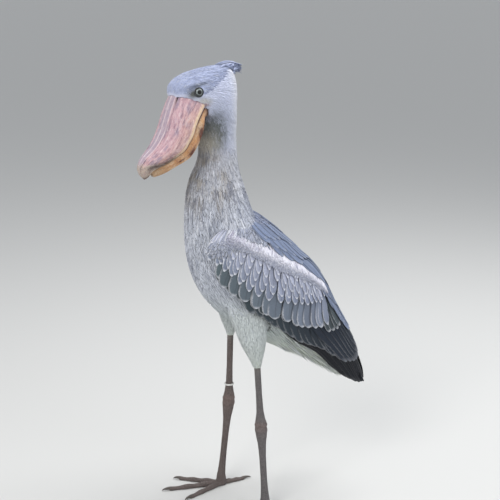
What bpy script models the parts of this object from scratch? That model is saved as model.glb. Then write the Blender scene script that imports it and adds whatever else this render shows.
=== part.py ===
"""A shoebill standing still, life size, in the pose of the photograph.

The bird faces -Y, its left side is +X, and its feet stand on z = 0.
In the tables below u is the distance forward, so y = -u.
"""

import math
import random

import bmesh
import bpy
import numpy as np

# Driving dimensions, in metres.
GAP = 0.0003
CENTRE_X = 0.009
CENTRE_U = -0.035
HEAD_YAW = math.radians(20.0)
HEAD_AXIS_U = 0.06
EYE_RADIUS = 0.0125
EYE_PLACE = (0.100, 0.0435, 1.126)
TOE_WIDTH = 0.0095
TOE_HEIGHT = 0.0150
VANE_ROOT = 0.0013
VANE_TIP = 0.0007
CORE_DEPTH = 0.0030
LID_RADIUS = 0.0118
LID_THICK = 0.0030
NOSTRIL_REACH = (1.25, 1.95)
NOSTRIL_WIDTH = 0.0017
NOSTRIL_SECTION = ((1.0, -0.003), (0.5, 0.002), (-0.5, 0.002), (-1.0, -0.003))
RING_HEIGHT = 0.008
RING_INSIDE = (0.0125, 0.0130)
RING_OUTSIDE = (0.0150, 0.0155)
RING_SHARE = 0.46
SMOOTH_ANGLE = math.radians(38.0)
SEED = 11

# Sections of the body: back u, z, front u, z, half width.
TORSO = (
    (0.008, 0.900, 0.141, 0.905, 0.064),
    (-0.008, 0.852, 0.152, 0.860, 0.077),
    (-0.024, 0.805, 0.156, 0.806, 0.087),
    (-0.060, 0.761, 0.157, 0.748, 0.097),
    (-0.108, 0.714, 0.152, 0.688, 0.106),
    (-0.154, 0.664, 0.135, 0.630, 0.108),
    (-0.192, 0.612, 0.106, 0.577, 0.102),
    (-0.222, 0.560, 0.064, 0.532, 0.091),
    (-0.250, 0.512, 0.014, 0.492, 0.078),
    (-0.276, 0.464, -0.046, 0.452, 0.065),
    (-0.300, 0.418, -0.112, 0.418, 0.050),
    (-0.314, 0.388, -0.160, 0.398, 0.040),
)

# Tail under the folded wings, in the same terms, from the body to near its tip.
TAIL = (
    (-0.314, 0.3877, -0.160, 0.3977, 0.0400),
    (-0.327, 0.356, -0.218, 0.3600, 0.0310),
    (-0.339, 0.328, -0.266, 0.3300, 0.0230),
    (-0.348, 0.308, -0.303, 0.3080, 0.0160),
    (-0.353, 0.297, -0.328, 0.2950, 0.0100),
)
TAIL_TIP = (-0.361, 0.283)

# Sections of the neck in the same terms, from inside the head down to the body, with the turn.
NECK = (
    (0.020, 1.110, 0.118, 1.112, 0.040, 20.0),
    (0.017, 1.080, 0.126, 1.078, 0.046, 20.0),
    (0.018, 1.045, 0.125, 1.040, 0.045, 17.0),
    (0.019, 1.010, 0.122, 1.004, 0.043, 13.0),
    (0.018, 0.975, 0.120, 0.968, 0.044, 8.0),
    (0.016, 0.940, 0.126, 0.938, 0.050, 4.0),
    (0.008, 0.9003, 0.141, 0.9053, 0.064, 0.0),
)

# Sections of the head across its own forward axis: forward, top z, bottom z, half width, power.
HEAD = (
    (-0.042, 1.150, 1.078, 0.012, 2.0),
    (-0.038, 1.165, 1.058, 0.023, 2.0),
    (-0.027, 1.1775, 1.042, 0.0340, 2.1),
    (-0.008, 1.184, 1.032, 0.0435, 2.2),
    (0.018, 1.186, 1.030, 0.0500, 2.3),
    (0.050, 1.182, 1.040, 0.0540, 2.3),
    (0.080, 1.176, 1.058, 0.0545, 2.3),
    (0.105, 1.169, 1.074, 0.0525, 2.2),
    (0.126, 1.160, 1.088, 0.0450, 2.1),
    (0.141, 1.149, 1.102, 0.0330, 2.0),
    (0.149, 1.137, 1.116, 0.0160, 2.0),
)

# Upper bill: culmen forward, z, cutting edge forward, z, half width.
BILL_UPPER = (
    (0.1386, 1.1300, 0.0816, 1.0950, 0.0465),
    (0.141, 1.126, 0.084, 1.091, 0.049),
    (0.153, 1.103, 0.098, 1.073, 0.0535),
    (0.163, 1.079, 0.110, 1.056, 0.0560),
    (0.174, 1.051, 0.118, 1.039, 0.0570),
    (0.186, 1.024, 0.126, 1.020, 0.0565),
    (0.204, 0.999, 0.144, 0.991, 0.0525),
    (0.221, 0.983, 0.157, 0.979, 0.0465),
    (0.235, 0.971, 0.172, 0.967, 0.0395),
    (0.245, 0.958, 0.187, 0.957, 0.0320),
    (0.2485, 0.946, 0.203, 0.949, 0.0225),
    (0.244, 0.932, 0.215, 0.939, 0.0140),
    (0.232, 0.9195, 0.222, 0.926, 0.0065),
)

# Lower bill: top edge forward, z, lower edge forward, z, half width at the top.
BILL_LOWER = (
    (0.070, 1.094, 0.060, 1.062, 0.0425),
    (0.084, 1.085, 0.073, 1.056, 0.0465),
    (0.098, 1.066, 0.0745, 1.034, 0.0495),
    (0.111, 1.049, 0.082, 1.012, 0.0505),
    (0.124, 1.020, 0.095, 0.990, 0.0495),
    (0.142, 0.991, 0.113, 0.968, 0.0460),
    (0.156, 0.978, 0.128, 0.957, 0.0405),
    (0.171, 0.966, 0.146, 0.948, 0.0335),
    (0.186, 0.956, 0.165, 0.938, 0.0255),
    (0.202, 0.947, 0.187, 0.928, 0.0165),
    (0.216, 0.937, 0.206, 0.923, 0.0075),
)

# Folded wing surface: back edge u, z, lower edge u, z, half width, arc in degrees.
WING = (
    (-0.010, 0.815, 0.120, 0.765, 0.092, 100.0),
    (-0.050, 0.790, 0.136, 0.722, 0.111, 115.0),
    (-0.100, 0.748, 0.115, 0.672, 0.122, 122.0),
    (-0.150, 0.700, 0.080, 0.618, 0.128, 125.0),
    (-0.195, 0.655, 0.030, 0.572, 0.128, 122.0),
    (-0.228, 0.605, -0.025, 0.538, 0.122, 115.0),
    (-0.254, 0.552, -0.078, 0.503, 0.110, 108.0),
    (-0.284, 0.500, -0.133, 0.462, 0.092, 100.0),
    (-0.315, 0.444, -0.195, 0.425, 0.072, 95.0),
    (-0.340, 0.395, -0.245, 0.375, 0.054, 90.0),
    (-0.356, 0.345, -0.290, 0.330, 0.038, 90.0),
    (-0.366, 0.300, -0.328, 0.290, 0.024, 90.0),
)

# Thigh sections for each leg: u, z, x, half width across, half depth.
THIGH_LEFT = (
    (0.010, 0.600, 0.058, 0.028, 0.060),
    (0.008, 0.560, 0.064, 0.030, 0.057),
    (0.004, 0.525, 0.069, 0.030, 0.050),
    (0.001, 0.495, 0.075, 0.029, 0.042),
    (-0.002, 0.465, 0.081, 0.026, 0.034),
    (-0.006, 0.435, 0.086, 0.019, 0.022),
    (-0.008, 0.412, 0.089, 0.013, 0.0135),
    (-0.009, 0.404, 0.090, 0.0110, 0.0115),
)
THIGH_RIGHT = (
    (0.014, 0.610, -0.060, 0.030, 0.056),
    (0.014, 0.575, -0.064, 0.033, 0.052),
    (0.014, 0.545, -0.067, 0.032, 0.045),
    (0.014, 0.518, -0.069, 0.028, 0.037),
    (0.014, 0.492, -0.071, 0.022, 0.027),
    (0.014, 0.468, -0.072, 0.016, 0.018),
    (0.014, 0.452, -0.072, 0.0125, 0.0130),
    (0.014, 0.445, -0.072, 0.0110, 0.0112),
)

# Bare leg: share of the way down, half width across, half depth.
LEG_FORM = (
    (0.00, 0.0085, 0.0085),
    (0.30, 0.0080, 0.0082),
    (0.46, 0.0088, 0.0095),
    (0.54, 0.0112, 0.0130),
    (0.590, 0.0138, 0.0168),
    (0.625, 0.0142, 0.0175),
    (0.665, 0.0122, 0.0150),
    (0.71, 0.0094, 0.0112),
    (0.78, 0.0080, 0.0092),
    (0.88, 0.0078, 0.0088),
    (0.94, 0.0086, 0.0096),
    (1.00, 0.0112, 0.0118),
)

FOOT_TOP = 0.034
LEFT_FOOT = (0.095, -0.030)
RIGHT_FOOT = (-0.077, 0.042)

# Toes: turn from straight ahead in degrees (outward is positive), length without claw, claw.
TOES = (
    (4.0, 0.150, 0.026, 1.00),
    (32.0, 0.125, 0.023, 0.94),
    (-27.0, 0.120, 0.024, 0.94),
    (172.0, 0.072, 0.026, 0.88),
)


# A toe's section: share of its half width, share of its height.
TOE_SECTION = (
    (-0.66, 0.00),
    (0.66, 0.00),
    (1.00, 0.36),
    (0.72, 0.80),
    (0.00, 1.00),
    (-0.72, 0.80),
    (-1.00, 0.36),
)

# The hub above the toes: height, half width across, half depth.
HUB = (
    (0.000, 0.0105, 0.0125),
    (0.006, 0.0130, 0.0150),
    (0.016, 0.0135, 0.0150),
    (0.026, 0.0120, 0.0128),
    (FOOT_TOP, 0.0112, 0.0118),
)

# The crest's low pad across the head's axis: forward, top z, bottom z, half width.
CREST_PAD = (
    (-0.046, 1.1660, 1.140, 0.006),
    (-0.040, 1.1760, 1.140, 0.013),
    (-0.030, 1.1835, 1.150, 0.018),
    (-0.016, 1.1875, 1.160, 0.018),
    (-0.003, 1.1875, 1.170, 0.011),
)

# Knees and feet of the bare legs as u, z and x.
ANKLE_LEFT = (-0.018, 0.239, 0.095)
ANKLE_RIGHT = (0.018, 0.253, -0.077)
ANKLE_AT = 0.625


def clear_scene():
    for obj in list(bpy.data.objects):
        bpy.data.objects.remove(obj, do_unlink=True)


def material(name, colour, roughness):
    """A plain Principled material."""
    found = bpy.data.materials.new(name)
    found.use_nodes = True
    shader = found.node_tree.nodes["Principled BSDF"]
    shader.inputs["Base Color"].default_value = (*colour, 1.0)
    shader.inputs["Roughness"].default_value = roughness
    found.diffuse_color = (*colour, 1.0)
    return found


def row_at(table, place):
    """The row of a table at a fractional row number, on a smooth curve through the rows."""
    rows = np.asarray(table, float)
    last = len(rows) - 1
    place = min(max(place, 0.0), last - 1e-9)
    i = int(place)
    f = place - i
    p1 = rows[i]
    p2 = rows[i + 1]
    p0 = rows[i - 1] if i > 0 else 2 * p1 - p2
    p3 = rows[i + 2] if i + 2 <= last else 2 * p2 - p1
    return 0.5 * (
        2 * p1
        + (p2 - p0) * f
        + (2 * p0 - 5 * p1 + 4 * p2 - p3) * f * f
        + (3 * p1 - p0 - 3 * p2 + p3) * f * f * f
    )


def signed_power(value, power):
    return math.copysign(abs(value) ** power, value)


def unit(v):
    v = np.asarray(v, float)
    return v / max(np.linalg.norm(v), 1e-12)


def make_object(name, points, faces, look):
    """A mesh object from points and faces, turned so that its faces look outward."""
    mesh = bpy.data.meshes.new(name)
    mesh.from_pydata([tuple(map(float, p)) for p in points], [], [tuple(f) for f in faces])
    work = bmesh.new()
    work.from_mesh(mesh)
    bmesh.ops.recalc_face_normals(work, faces=work.faces)
    if work.calc_volume(signed=True) < 0:
        bmesh.ops.reverse_faces(work, faces=work.faces)
    work.to_mesh(mesh)
    work.free()
    mesh.materials.append(look)
    obj = bpy.data.objects.new(name, mesh)
    bpy.context.scene.collection.objects.link(obj)
    return obj


def loft(name, rings, look):
    """A closed solid through rings that hold the same number of points."""
    count = len(rings[0])
    points = [p for ring in rings for p in ring]
    faces = []
    for i in range(len(rings) - 1):
        for k in range(count):
            a = i * count + k
            b = i * count + (k + 1) % count
            c = a + count
            d = b + count
            faces.append((a, b, d))
            faces.append((a, d, c))
    faces.append(tuple(range(count - 1, -1, -1)))
    faces.append(tuple(range((len(rings) - 1) * count, len(rings) * count)))
    return make_object(name, points, faces, look)


def apply_modifier(obj, modifier):
    bpy.context.view_layer.objects.active = obj
    for other in bpy.context.view_layer.objects:
        other.select_set(other == obj)
    bpy.ops.object.modifier_apply(modifier=modifier.name)


def tidy(obj):
    """Keeps the largest closed surface and welds what a join leaves doubled."""
    work = bmesh.new()
    work.from_mesh(obj.data)
    bmesh.ops.remove_doubles(work, verts=work.verts, dist=2e-7)
    bmesh.ops.triangulate(work, faces=work.faces)
    todo = set(work.faces)
    groups = []
    while todo:
        stack = [todo.pop()]
        group = list(stack)
        while stack:
            face = stack.pop()
            for edge in face.edges:
                for near in edge.link_faces:
                    if near in todo:
                        todo.remove(near)
                        stack.append(near)
                        group.append(near)
        groups.append(group)

    def size(group):
        total = 0.0
        for face in group:
            a, b, c = (v.co for v in face.verts)
            total += a.dot(b.cross(c))
        return total

    groups.sort(key=size)
    for group in groups[:-1]:
        bmesh.ops.delete(work, geom=group, context="FACES")
    loose = [v for v in work.verts if not v.link_faces]
    bmesh.ops.delete(work, geom=loose, context="VERTS")
    work.to_mesh(obj.data)
    work.free()


def closed(mesh):
    work = bmesh.new()
    work.from_mesh(mesh)
    good = len(work.faces) > 3 and all(e.is_manifold for e in work.edges)
    work.free()
    return good


def combine(obj, others, operation):
    """Joins to obj, or cuts from it, the other objects, which are then removed."""
    group = bpy.data.collections.new("pieces")
    bpy.context.scene.collection.children.link(group)
    for other in others:
        bpy.context.scene.collection.objects.unlink(other)
        group.objects.link(other)
    before = obj.data.copy()
    for solver in ("EXACT", "MANIFOLD"):
        modifier = obj.modifiers.new("join", "BOOLEAN")
        modifier.operation = operation
        modifier.operand_type = "COLLECTION"
        modifier.collection = group
        modifier.solver = solver
        if solver == "EXACT":
            modifier.use_self = False
        apply_modifier(obj, modifier)
        tidy(obj)
        if closed(obj.data):
            break
        obj.data = before.copy()
    for other in list(group.objects):
        bpy.data.objects.remove(other, do_unlink=True)
    bpy.data.collections.remove(group)
    return obj


def body_ring(row, grow=0.0, count=24, power=2.15, full=0.10):
    """An oval section between a back point and a front point, fuller toward the back."""
    back = np.array([row[0], row[1]])
    front = np.array([row[2], row[3]])
    middle = (back + front) / 2
    reach = np.linalg.norm(front - back) / 2
    along = (front - back) / (2 * reach)
    turn = math.radians(row[5]) if len(row) > 5 else 0.0
    ring = []
    for k in range(count):
        angle = 2 * math.pi * (k + 0.5) / count
        c = signed_power(math.cos(angle), 2 / power)
        s = signed_power(math.sin(angle), 2 / power)
        place = middle + along * (reach + grow) * c
        x = (row[4] + grow) * s * (1 - full * c)
        du = place[0] - HEAD_AXIS_U
        u = HEAD_AXIS_U + du * math.cos(turn) - x * math.sin(turn)
        ring.append((x * math.cos(turn) + du * math.sin(turn), -u, place[1]))
    return ring


def head_point(forward, side, z):
    """A point given in the turned head: distance forward of its axis, to its left, and up."""
    x = forward * math.sin(HEAD_YAW) + side * math.cos(HEAD_YAW)
    u = HEAD_AXIS_U + forward * math.cos(HEAD_YAW) - side * math.sin(HEAD_YAW)
    return (x, -u, z)


def head_rings(grow=0.0, count=18):
    rings = []
    for n in range(2 * len(HEAD) - 1):
        row = row_at(HEAD, n / 2)
        middle = (row[1] + row[2]) / 2
        tall = (row[1] - row[2]) / 2 + grow
        ring = []
        for k in range(count):
            angle = 2 * math.pi * (k + 0.5) / count
            c = signed_power(math.cos(angle), 2 / row[4])
            s = signed_power(math.sin(angle), 2 / row[4])
            brow = 1.0 + 0.05 * math.exp(-(((row[0] - 0.10) / 0.03) ** 2)) * max(0.0, c) * 2
            ring.append(head_point(row[0], (row[3] + grow) * s * brow, middle + tall * c))
        rings.append(ring)
    return ends_pushed(rings, 2 * grow)


def ends_pushed(rings, grow):
    """The rings with the first and last moved outward by the growth, for a cutter."""
    rings = [np.asarray(ring, float) for ring in rings]
    for end, near in ((0, 1), (-1, -2)):
        away = unit(rings[end].mean(axis=0) - rings[near].mean(axis=0))
        rings[end] = rings[end] + away * grow
    return rings


def bill_upper_rings(grow=0.0):
    """Keel, groove, cheek, cutting edge and hollow palate."""
    form = (
        (0.00, 0.00),
        (0.14, 0.010),
        (0.24, 0.060),
        (0.52, 0.130),
        (0.80, 0.330),
        (0.95, 0.640),
        (1.00, 1.000),
        (0.86, 1.010),
        (0.45, 0.930),
    )
    rings = []
    last = len(BILL_UPPER) - 1
    for n, row in enumerate(BILL_UPPER):
        top = np.array([row[0], row[1]])
        low = np.array([row[2], row[3]])
        down = unit(low - top)
        keel = 0.0
        if 0 < n < last:
            keel = 0.0016
        side = []
        for across, drop in form:
            at = top + (low - top) * drop
            out = row[4] * across
            if across == 0.24:
                at = at + down * keel
            at = at + down * grow * (2 * min(drop, 1.0) - 1)
            side.append((out + grow * (across > 0), at))
        ring = [head_point(at[0], out, at[1]) for out, at in side]
        ring += [head_point(at[0], -out, at[1]) for out, at in reversed(side[1:])]
        rings.append(ring)
    return ends_pushed(rings, 2 * grow)


def bill_lower_rings(grow=0.0):
    """Open top edge, side, keel and the skin between the two rami."""
    form = (
        (0.00, 0.120),
        (0.70, 0.040),
        (1.00, 0.000),
        (1.02, 0.300),
        (0.92, 0.700),
        (0.66, 0.980),
        (0.30, 1.000),
        (0.00, 0.960),
    )
    rings = []
    for row in BILL_LOWER:
        top = np.array([row[0], row[1]])
        low = np.array([row[2], row[3]])
        down = unit(low - top)
        side = []
        for across, drop in form:
            at = top + (low - top) * drop
            at = at + down * grow * (2 * drop - 1)
            side.append((row[4] * across + grow * (across > 0), at))
        ring = [head_point(at[0], out, at[1]) for out, at in side]
        ring += [head_point(at[0], -out, at[1]) for out, at in reversed(side[1:-1])]
        rings.append(ring)
    return ends_pushed(rings, 2 * grow)


def sphere(name, centre, radius, look, across=14, along=8):
    rings = []
    for i in range(1, along):
        lift = math.pi * i / along - math.pi / 2
        r = radius * math.cos(lift)
        ring = []
        for k in range(across):
            angle = 2 * math.pi * k / across
            ring.append(
                (
                    centre[0] + r * math.cos(angle),
                    centre[1] + r * math.sin(angle),
                    centre[2] + radius * math.sin(lift),
                )
            )
        rings.append(ring)
    return loft(name, rings, look)


def ring_round(name, centre, axis, major, minor, look, across=18, around=6, flat=1.0):
    """A closed ring about an axis."""
    axis = unit(axis)
    side = unit(np.cross(axis, (0, 0, 1)))
    up = np.cross(side, axis)
    points = []
    faces = []
    for i in range(across):
        angle = 2 * math.pi * i / across
        out = side * math.cos(angle) + up * math.sin(angle)
        for k in range(around):
            turn = 2 * math.pi * k / around
            points.append(
                np.asarray(centre)
                + out * (major + minor * math.cos(turn))
                + axis * minor * flat * math.sin(turn)
            )
            a = i * around + k
            b = i * around + (k + 1) % around
            c = ((i + 1) % across) * around + k
            d = ((i + 1) % across) * around + (k + 1) % around
            faces.append((a, b, d))
            faces.append((a, d, c))
    return make_object(name, points, faces, look)


def wing_point(s, t):
    """A point of the left folded wing: s from shoulder to tip, t from back to lower edge."""
    row = row_at(WING, s * (len(WING) - 1))
    arc = math.radians(row[5])
    angle = arc * t
    share = (1 - math.cos(angle)) / (1 - math.cos(arc))
    u = row[0] + (row[2] - row[0]) * share
    z = row[1] + (row[3] - row[1]) * share
    return np.array([row[4] * math.sin(angle), -u, z])


def wing_frame(s, t):
    """Point, direction along, direction across and outward normal of the wing surface."""
    step = 0.004
    here = wing_point(s, t)
    along = (wing_point(min(s + step, 1), t) - wing_point(s - step, t)) / (
        min(s + step, 1) - (s - step)
    )
    across = (wing_point(s, t + step) - wing_point(s, t - step)) / (2 * step)
    normal = unit(np.cross(across, along))
    return here, along, across, normal


def ribbon(name, centres, sides, normals, half_widths, depths, lifts, look):
    """A thin tapering solid along a line of centres, split alike on both faces."""
    points = []
    faces = []
    for c, side, normal, w, d, lift in zip(
        centres, sides, normals, half_widths, depths, lifts
    ):
        for way in (-1, 1):
            edge = np.asarray(c) + side * w * way + normal * lift * way
            points.append(edge + normal * d / 2)
            points.append(edge - normal * d / 2)
    for i in range(len(centres) - 1):
        a = 4 * i
        b = a + 4
        faces += [(a, a + 2, b + 2), (a, b + 2, b)]
        faces += [(a + 1, b + 3, a + 3), (a + 1, b + 1, b + 3)]
        faces += [(a, b, b + 1), (a, b + 1, a + 1)]
        faces += [(a + 2, a + 3, b + 3), (a + 2, b + 3, b + 2)]
    end = 4 * (len(centres) - 1)
    faces += [(0, 1, 3), (0, 3, 2), (end, end + 2, end + 3), (end, end + 3, end + 1)]
    return make_object(name, points, faces, look)


ROUND_TIP = ((0.0, 0.60), (0.55, 1.00), (0.86, 0.84), (1.0, 0.26))
LONG_TIP = ((0.0, 0.60), (0.40, 0.90), (0.80, 1.00), (0.95, 0.66), (1.0, 0.18))


def wing_vane(name, root, tip, half_width, heights, lift, form, look):
    """A vane laid on the wing surface from root to tip, both given as s and t."""
    centres = []
    sides = []
    normals = []
    widths = []
    depths = []
    lifts = []
    for k, wide in form:
        s = root[0] + (tip[0] - root[0]) * k
        t = root[1] + (tip[1] - root[1]) * k
        here, along, across, normal = wing_frame(s, t)
        way = unit(along * (tip[0] - root[0]) + across * (tip[1] - root[1]))
        if k < 0.5:
            height = heights[0] + (heights[1] - heights[0]) * k / 0.5
        else:
            height = heights[1] + (heights[2] - heights[1]) * (k - 0.5) / 0.5
        centres.append(here + normal * height)
        sides.append(unit(np.cross(normal, way)))
        normals.append(normal)
        widths.append(half_width * wide)
        depths.append(VANE_ROOT + (VANE_TIP - VANE_ROOT) * k)
        lifts.append(lift * wide)
    return ribbon(name, centres, sides, normals, widths, depths, lifts, look)


def wing_core(look):
    """The body of the folded wing, under its feathers."""
    outer = []
    inner = []
    rows = 12
    cols = 9
    for i in range(rows):
        s = 0.012 + 0.75 * i / (rows - 1)
        for k in range(cols):
            t = -0.03 + 0.95 * k / (cols - 1)
            here, along, across, normal = wing_frame(s, t)
            depth = 0.024 - 0.017 * i / (rows - 1)
            if k == cols - 1 or i == rows - 1:
                depth = depth * 0.6
            outer.append(here - normal * CORE_DEPTH)
            inner.append(here - normal * (CORE_DEPTH + depth))
    points = outer + inner
    half = rows * cols
    faces = []
    for i in range(rows - 1):
        for k in range(cols - 1):
            a = i * cols + k
            faces += [(a, a + 1, a + cols + 1), (a, a + cols + 1, a + cols)]
            b = a + half
            faces += [(b, b + cols + 1, b + 1), (b, b + cols, b + cols + 1)]
    rim = [k for k in range(cols)]
    rim += [i * cols + cols - 1 for i in range(1, rows)]
    rim += [(rows - 1) * cols + k for k in range(cols - 2, -1, -1)]
    rim += [i * cols for i in range(rows - 2, 0, -1)]
    for k, a in enumerate(rim):
        b = rim[(k + 1) % len(rim)]
        faces += [(a, b + half, b), (a, a + half, b + half)]
    return make_object("core", points, faces, look)


def along_line(points, k):
    """A place on a broken line, k from 0 to 1 of its length."""
    points = np.asarray(points, float)
    steps = np.linalg.norm(np.diff(points, axis=0), axis=1)
    run = np.concatenate([[0], np.cumsum(steps)]) / steps.sum()
    return np.array([np.interp(k, run, points[:, c]) for c in range(points.shape[1])])


# Feather tiers of the wing: tips on a line of s and t, root set back, half width, heights, count.
TIERS = (
    ("primary", ((0.905, 0.99), (0.950, 0.90), (0.985, 0.62), (1.0, 0.25)), (-0.40, -0.02),
     0.0180, (-0.0080, -0.0072, -0.0062), 4, "long"),
    ("secondary", ((0.400, 0.985), (0.560, 0.99), (0.700, 0.97), (0.800, 0.88), (0.860, 0.72)),
     (-0.20, -0.22), 0.0185, (-0.0060, -0.0036, -0.0026), 8, "long"),
    ("tertial", ((0.885, 0.56), (0.850, 0.38), (0.790, 0.22), (0.690, 0.10)), (-0.34, -0.02),
     0.0190, (-0.0055, -0.0016, -0.0006), 4, "long"),
    ("greater", ((0.280, 0.955), (0.445, 0.925), (0.535, 0.862), (0.590, 0.735), (0.600, 0.56)),
     (-0.085, -0.165), 0.0175, (-0.0052, -0.0002, 0.0008), 8, "round"),
    ("median", ((0.130, 0.935), (0.260, 0.860), (0.380, 0.784), (0.451, 0.643), (0.489, 0.449)),
     (-0.065, -0.130), 0.0165, (-0.0052, 0.0006, 0.0014), 8, "round"),
    ("scapular", ((0.310, 0.300), (0.440, 0.290), (0.590, 0.210)), (-0.16, -0.04),
     0.0200, (-0.0052, 0.0004, 0.0012), 3, "round"),
    ("mantle", ((0.520, 0.085), (0.340, 0.095)), (-0.16, 0.00),
     0.0160, (-0.0052, 0.0004, 0.0012), 2, "round"),
)
FORMS = {"round": ROUND_TIP, "long": LONG_TIP}
VANE_LIFT = 0.0010


def wing_left(look):
    """The folded left wing: its core with each tier of feathers joined to it."""
    rng = random.Random(SEED)
    core = wing_core(look)
    vanes = []
    for name, tips, back, half_width, heights, count, form in TIERS:
        for n in range(count):
            k = (n + 0.5) / count if form == "round" else n / (count - 1)
            tip = along_line(tips, k)
            root = tip + np.array(back)
            root[0] = max(root[0], 0.02)
            root[1] = min(max(root[1], 0.05), 0.90)
            tip = tip + np.array([rng.uniform(-0.006, 0.006), rng.uniform(-0.008, 0.008)])
            tip[0] = min(tip[0], 1.0)
            raised = [h + rng.uniform(-0.0001, 0.0001) for h in heights]
            wide = half_width * rng.uniform(0.96, 1.04)
            vanes.append(wing_vane(name, root, tip, wide, raised, VANE_LIFT, FORMS[form], look))
    return combine(core, vanes, "UNION")


def box(name, low, high, look):
    """A plain block between two corners."""
    x0, y0, z0 = low
    x1, y1, z1 = high
    points = [
        (x0, y0, z0), (x1, y0, z0), (x1, y1, z0), (x0, y1, z0),
        (x0, y0, z1), (x1, y0, z1), (x1, y1, z1), (x0, y1, z1),
    ]
    faces = [
        (0, 3, 2, 1), (4, 5, 6, 7), (0, 1, 5, 4),
        (1, 2, 6, 5), (2, 3, 7, 6), (3, 0, 4, 7),
    ]
    return make_object(name, points, faces, look)


def mirrored(obj, name):
    """A copy of an object on the other side of the body."""
    mesh = obj.data.copy()
    for vertex in mesh.vertices:
        vertex.co.x = -vertex.co.x
    mesh.flip_normals()
    copy = bpy.data.objects.new(name, mesh)
    bpy.context.scene.collection.objects.link(copy)
    return copy


def thigh_rings(table, count=16):
    rings = []
    for row in table:
        ring = []
        for k in range(count):
            angle = 2 * math.pi * k / count
            x = row[2] + row[3] * math.cos(angle)
            u = row[0] + row[4] * math.sin(angle)
            ring.append((x, -u, row[1]))
        rings.append(ring)
    return rings


def leg_place(top, ankle, foot, share):
    """The middle of the bare leg at a share of its way down, as u, z and x."""
    if share <= ANKLE_AT:
        k = share / ANKLE_AT
        return [a + (b - a) * k for a, b in zip(top, ankle)]
    k = (share - ANKLE_AT) / (1 - ANKLE_AT)
    return [a + (b - a) * k for a, b in zip(ankle, foot)]


def leg_rings(top, ankle, foot, count=12):
    """The bare leg from the feathers to the foot through the ankle, given as u, z and x."""
    rings = []
    for share, wide, deep in LEG_FORM:
        place = leg_place(top, ankle, foot, share)
        ring = []
        for n in range(count):
            angle = 2 * math.pi * n / count
            x = place[2] + wide * math.cos(angle)
            u = place[0] + deep * math.sin(angle)
            ring.append((x, -u, place[1]))
        rings.append(ring)
    return rings


def toe(name, start, turn, length, claw, scale, look):
    """A toe with joints and a claw, flat under its pads where it meets the floor."""
    forward = np.array([math.sin(turn), -math.cos(turn), 0.0])
    side = np.array([math.cos(turn), math.sin(turn), 0.0])
    rows = []
    steps = 6
    for n in range(steps + 1):
        k = n / steps
        joint = 1.0 + 0.10 * math.cos(6 * math.pi * k)
        wide = TOE_WIDTH * scale * (1 - 0.30 * k) * joint
        high = TOE_HEIGHT * scale * (1 - 0.36 * k) * joint
        high += (FOOT_TOP * 0.55 - high) * max(0.0, 1 - k / 0.16) ** 2
        rows.append((length * k, wide, high, 0.0))
    end = TOE_WIDTH * scale * 0.70
    tall = TOE_HEIGHT * scale * 0.64
    rows.append((length + claw * 0.08, end * 0.78, tall * 0.86, 0.0005))
    rows.append((length + claw * 0.45, end * 0.52, tall * 0.62, 0.0008))
    rows.append((length + claw * 1.00, end * 0.12, tall * 0.14, 0.0002))
    rings = []
    for reach, wide, high, base in rows:
        here = np.array([start[0], -start[1], 0.0]) + forward * reach
        ring = []
        for across, up in TOE_SECTION:
            at = here + side * wide * across
            ring.append((at[0], at[1], base + (high - base) * up))
        rings.append(ring)
    return loft(name, rings, look)


def foot(name, place, side, look):
    """The hub under the leg with its four toes."""
    x, u = place
    rings = []
    for z, wide, deep in HUB:
        ring = []
        for n in range(12):
            angle = 2 * math.pi * n / 12
            ring.append((x + wide * math.cos(angle), -u - deep * math.sin(angle), z))
        rings.append(ring)
    hub = loft(name, rings, look)
    toes = []
    for turn, length, claw, scale in TOES:
        angle = math.radians(turn) * side
        away = 0.002
        start = (x + away * math.sin(angle), u + away * math.cos(angle))
        toes.append(toe("toe", start, angle, length, claw, scale, look))
    return combine(hub, toes, "UNION")


def tail(name, grow, look):
    """The tail with its coverts, and its flight feathers in a narrow fan at the end."""
    rows = [row_at(TAIL, n / 2) for n in range(2 * len(TAIL) - 1)]
    rings = [body_ring(row, grow, 16, 2.1, 0.0) for row in rows]
    core = loft(name, ends_pushed(rings, 2 * grow), look)
    start = np.array([0.0, 0.322, 0.345])
    end = np.array([0.0, -TAIL_TIP[0], TAIL_TIP[1]])
    run = unit(end - start)
    normal = unit(np.cross((1.0, 0.0, 0.0), run))
    across = np.array([1.0, 0.0, 0.0])
    count = 8
    vanes = []
    for n in range(count):
        k = 2 * n / (count - 1) - 1
        root = start + across * 0.010 * k
        tip = end + across * 0.016 * k - run * 0.012 * k * k - normal * 0.003 * abs(k)
        centres = []
        widths = []
        depths = []
        for step, wide in LONG_TIP:
            reach = step * (1 + grow / np.linalg.norm(tip - root))
            rise = 0.003 * (1 - abs(k)) * step
            centres.append(root + (tip - root) * reach + normal * rise)
            widths.append(0.0085 * wide + grow)
            depths.append(VANE_ROOT + (VANE_TIP - VANE_ROOT) * step + 2 * grow)
        lift = -0.0010 if k > 0 else 0.0010
        lifts = [lift * wide for step, wide in LONG_TIP]
        vanes.append(
            ribbon("vane", centres, [across] * 5, [normal] * 5, widths, depths, lifts, look)
        )
    return combine(core, vanes, "UNION")


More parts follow.
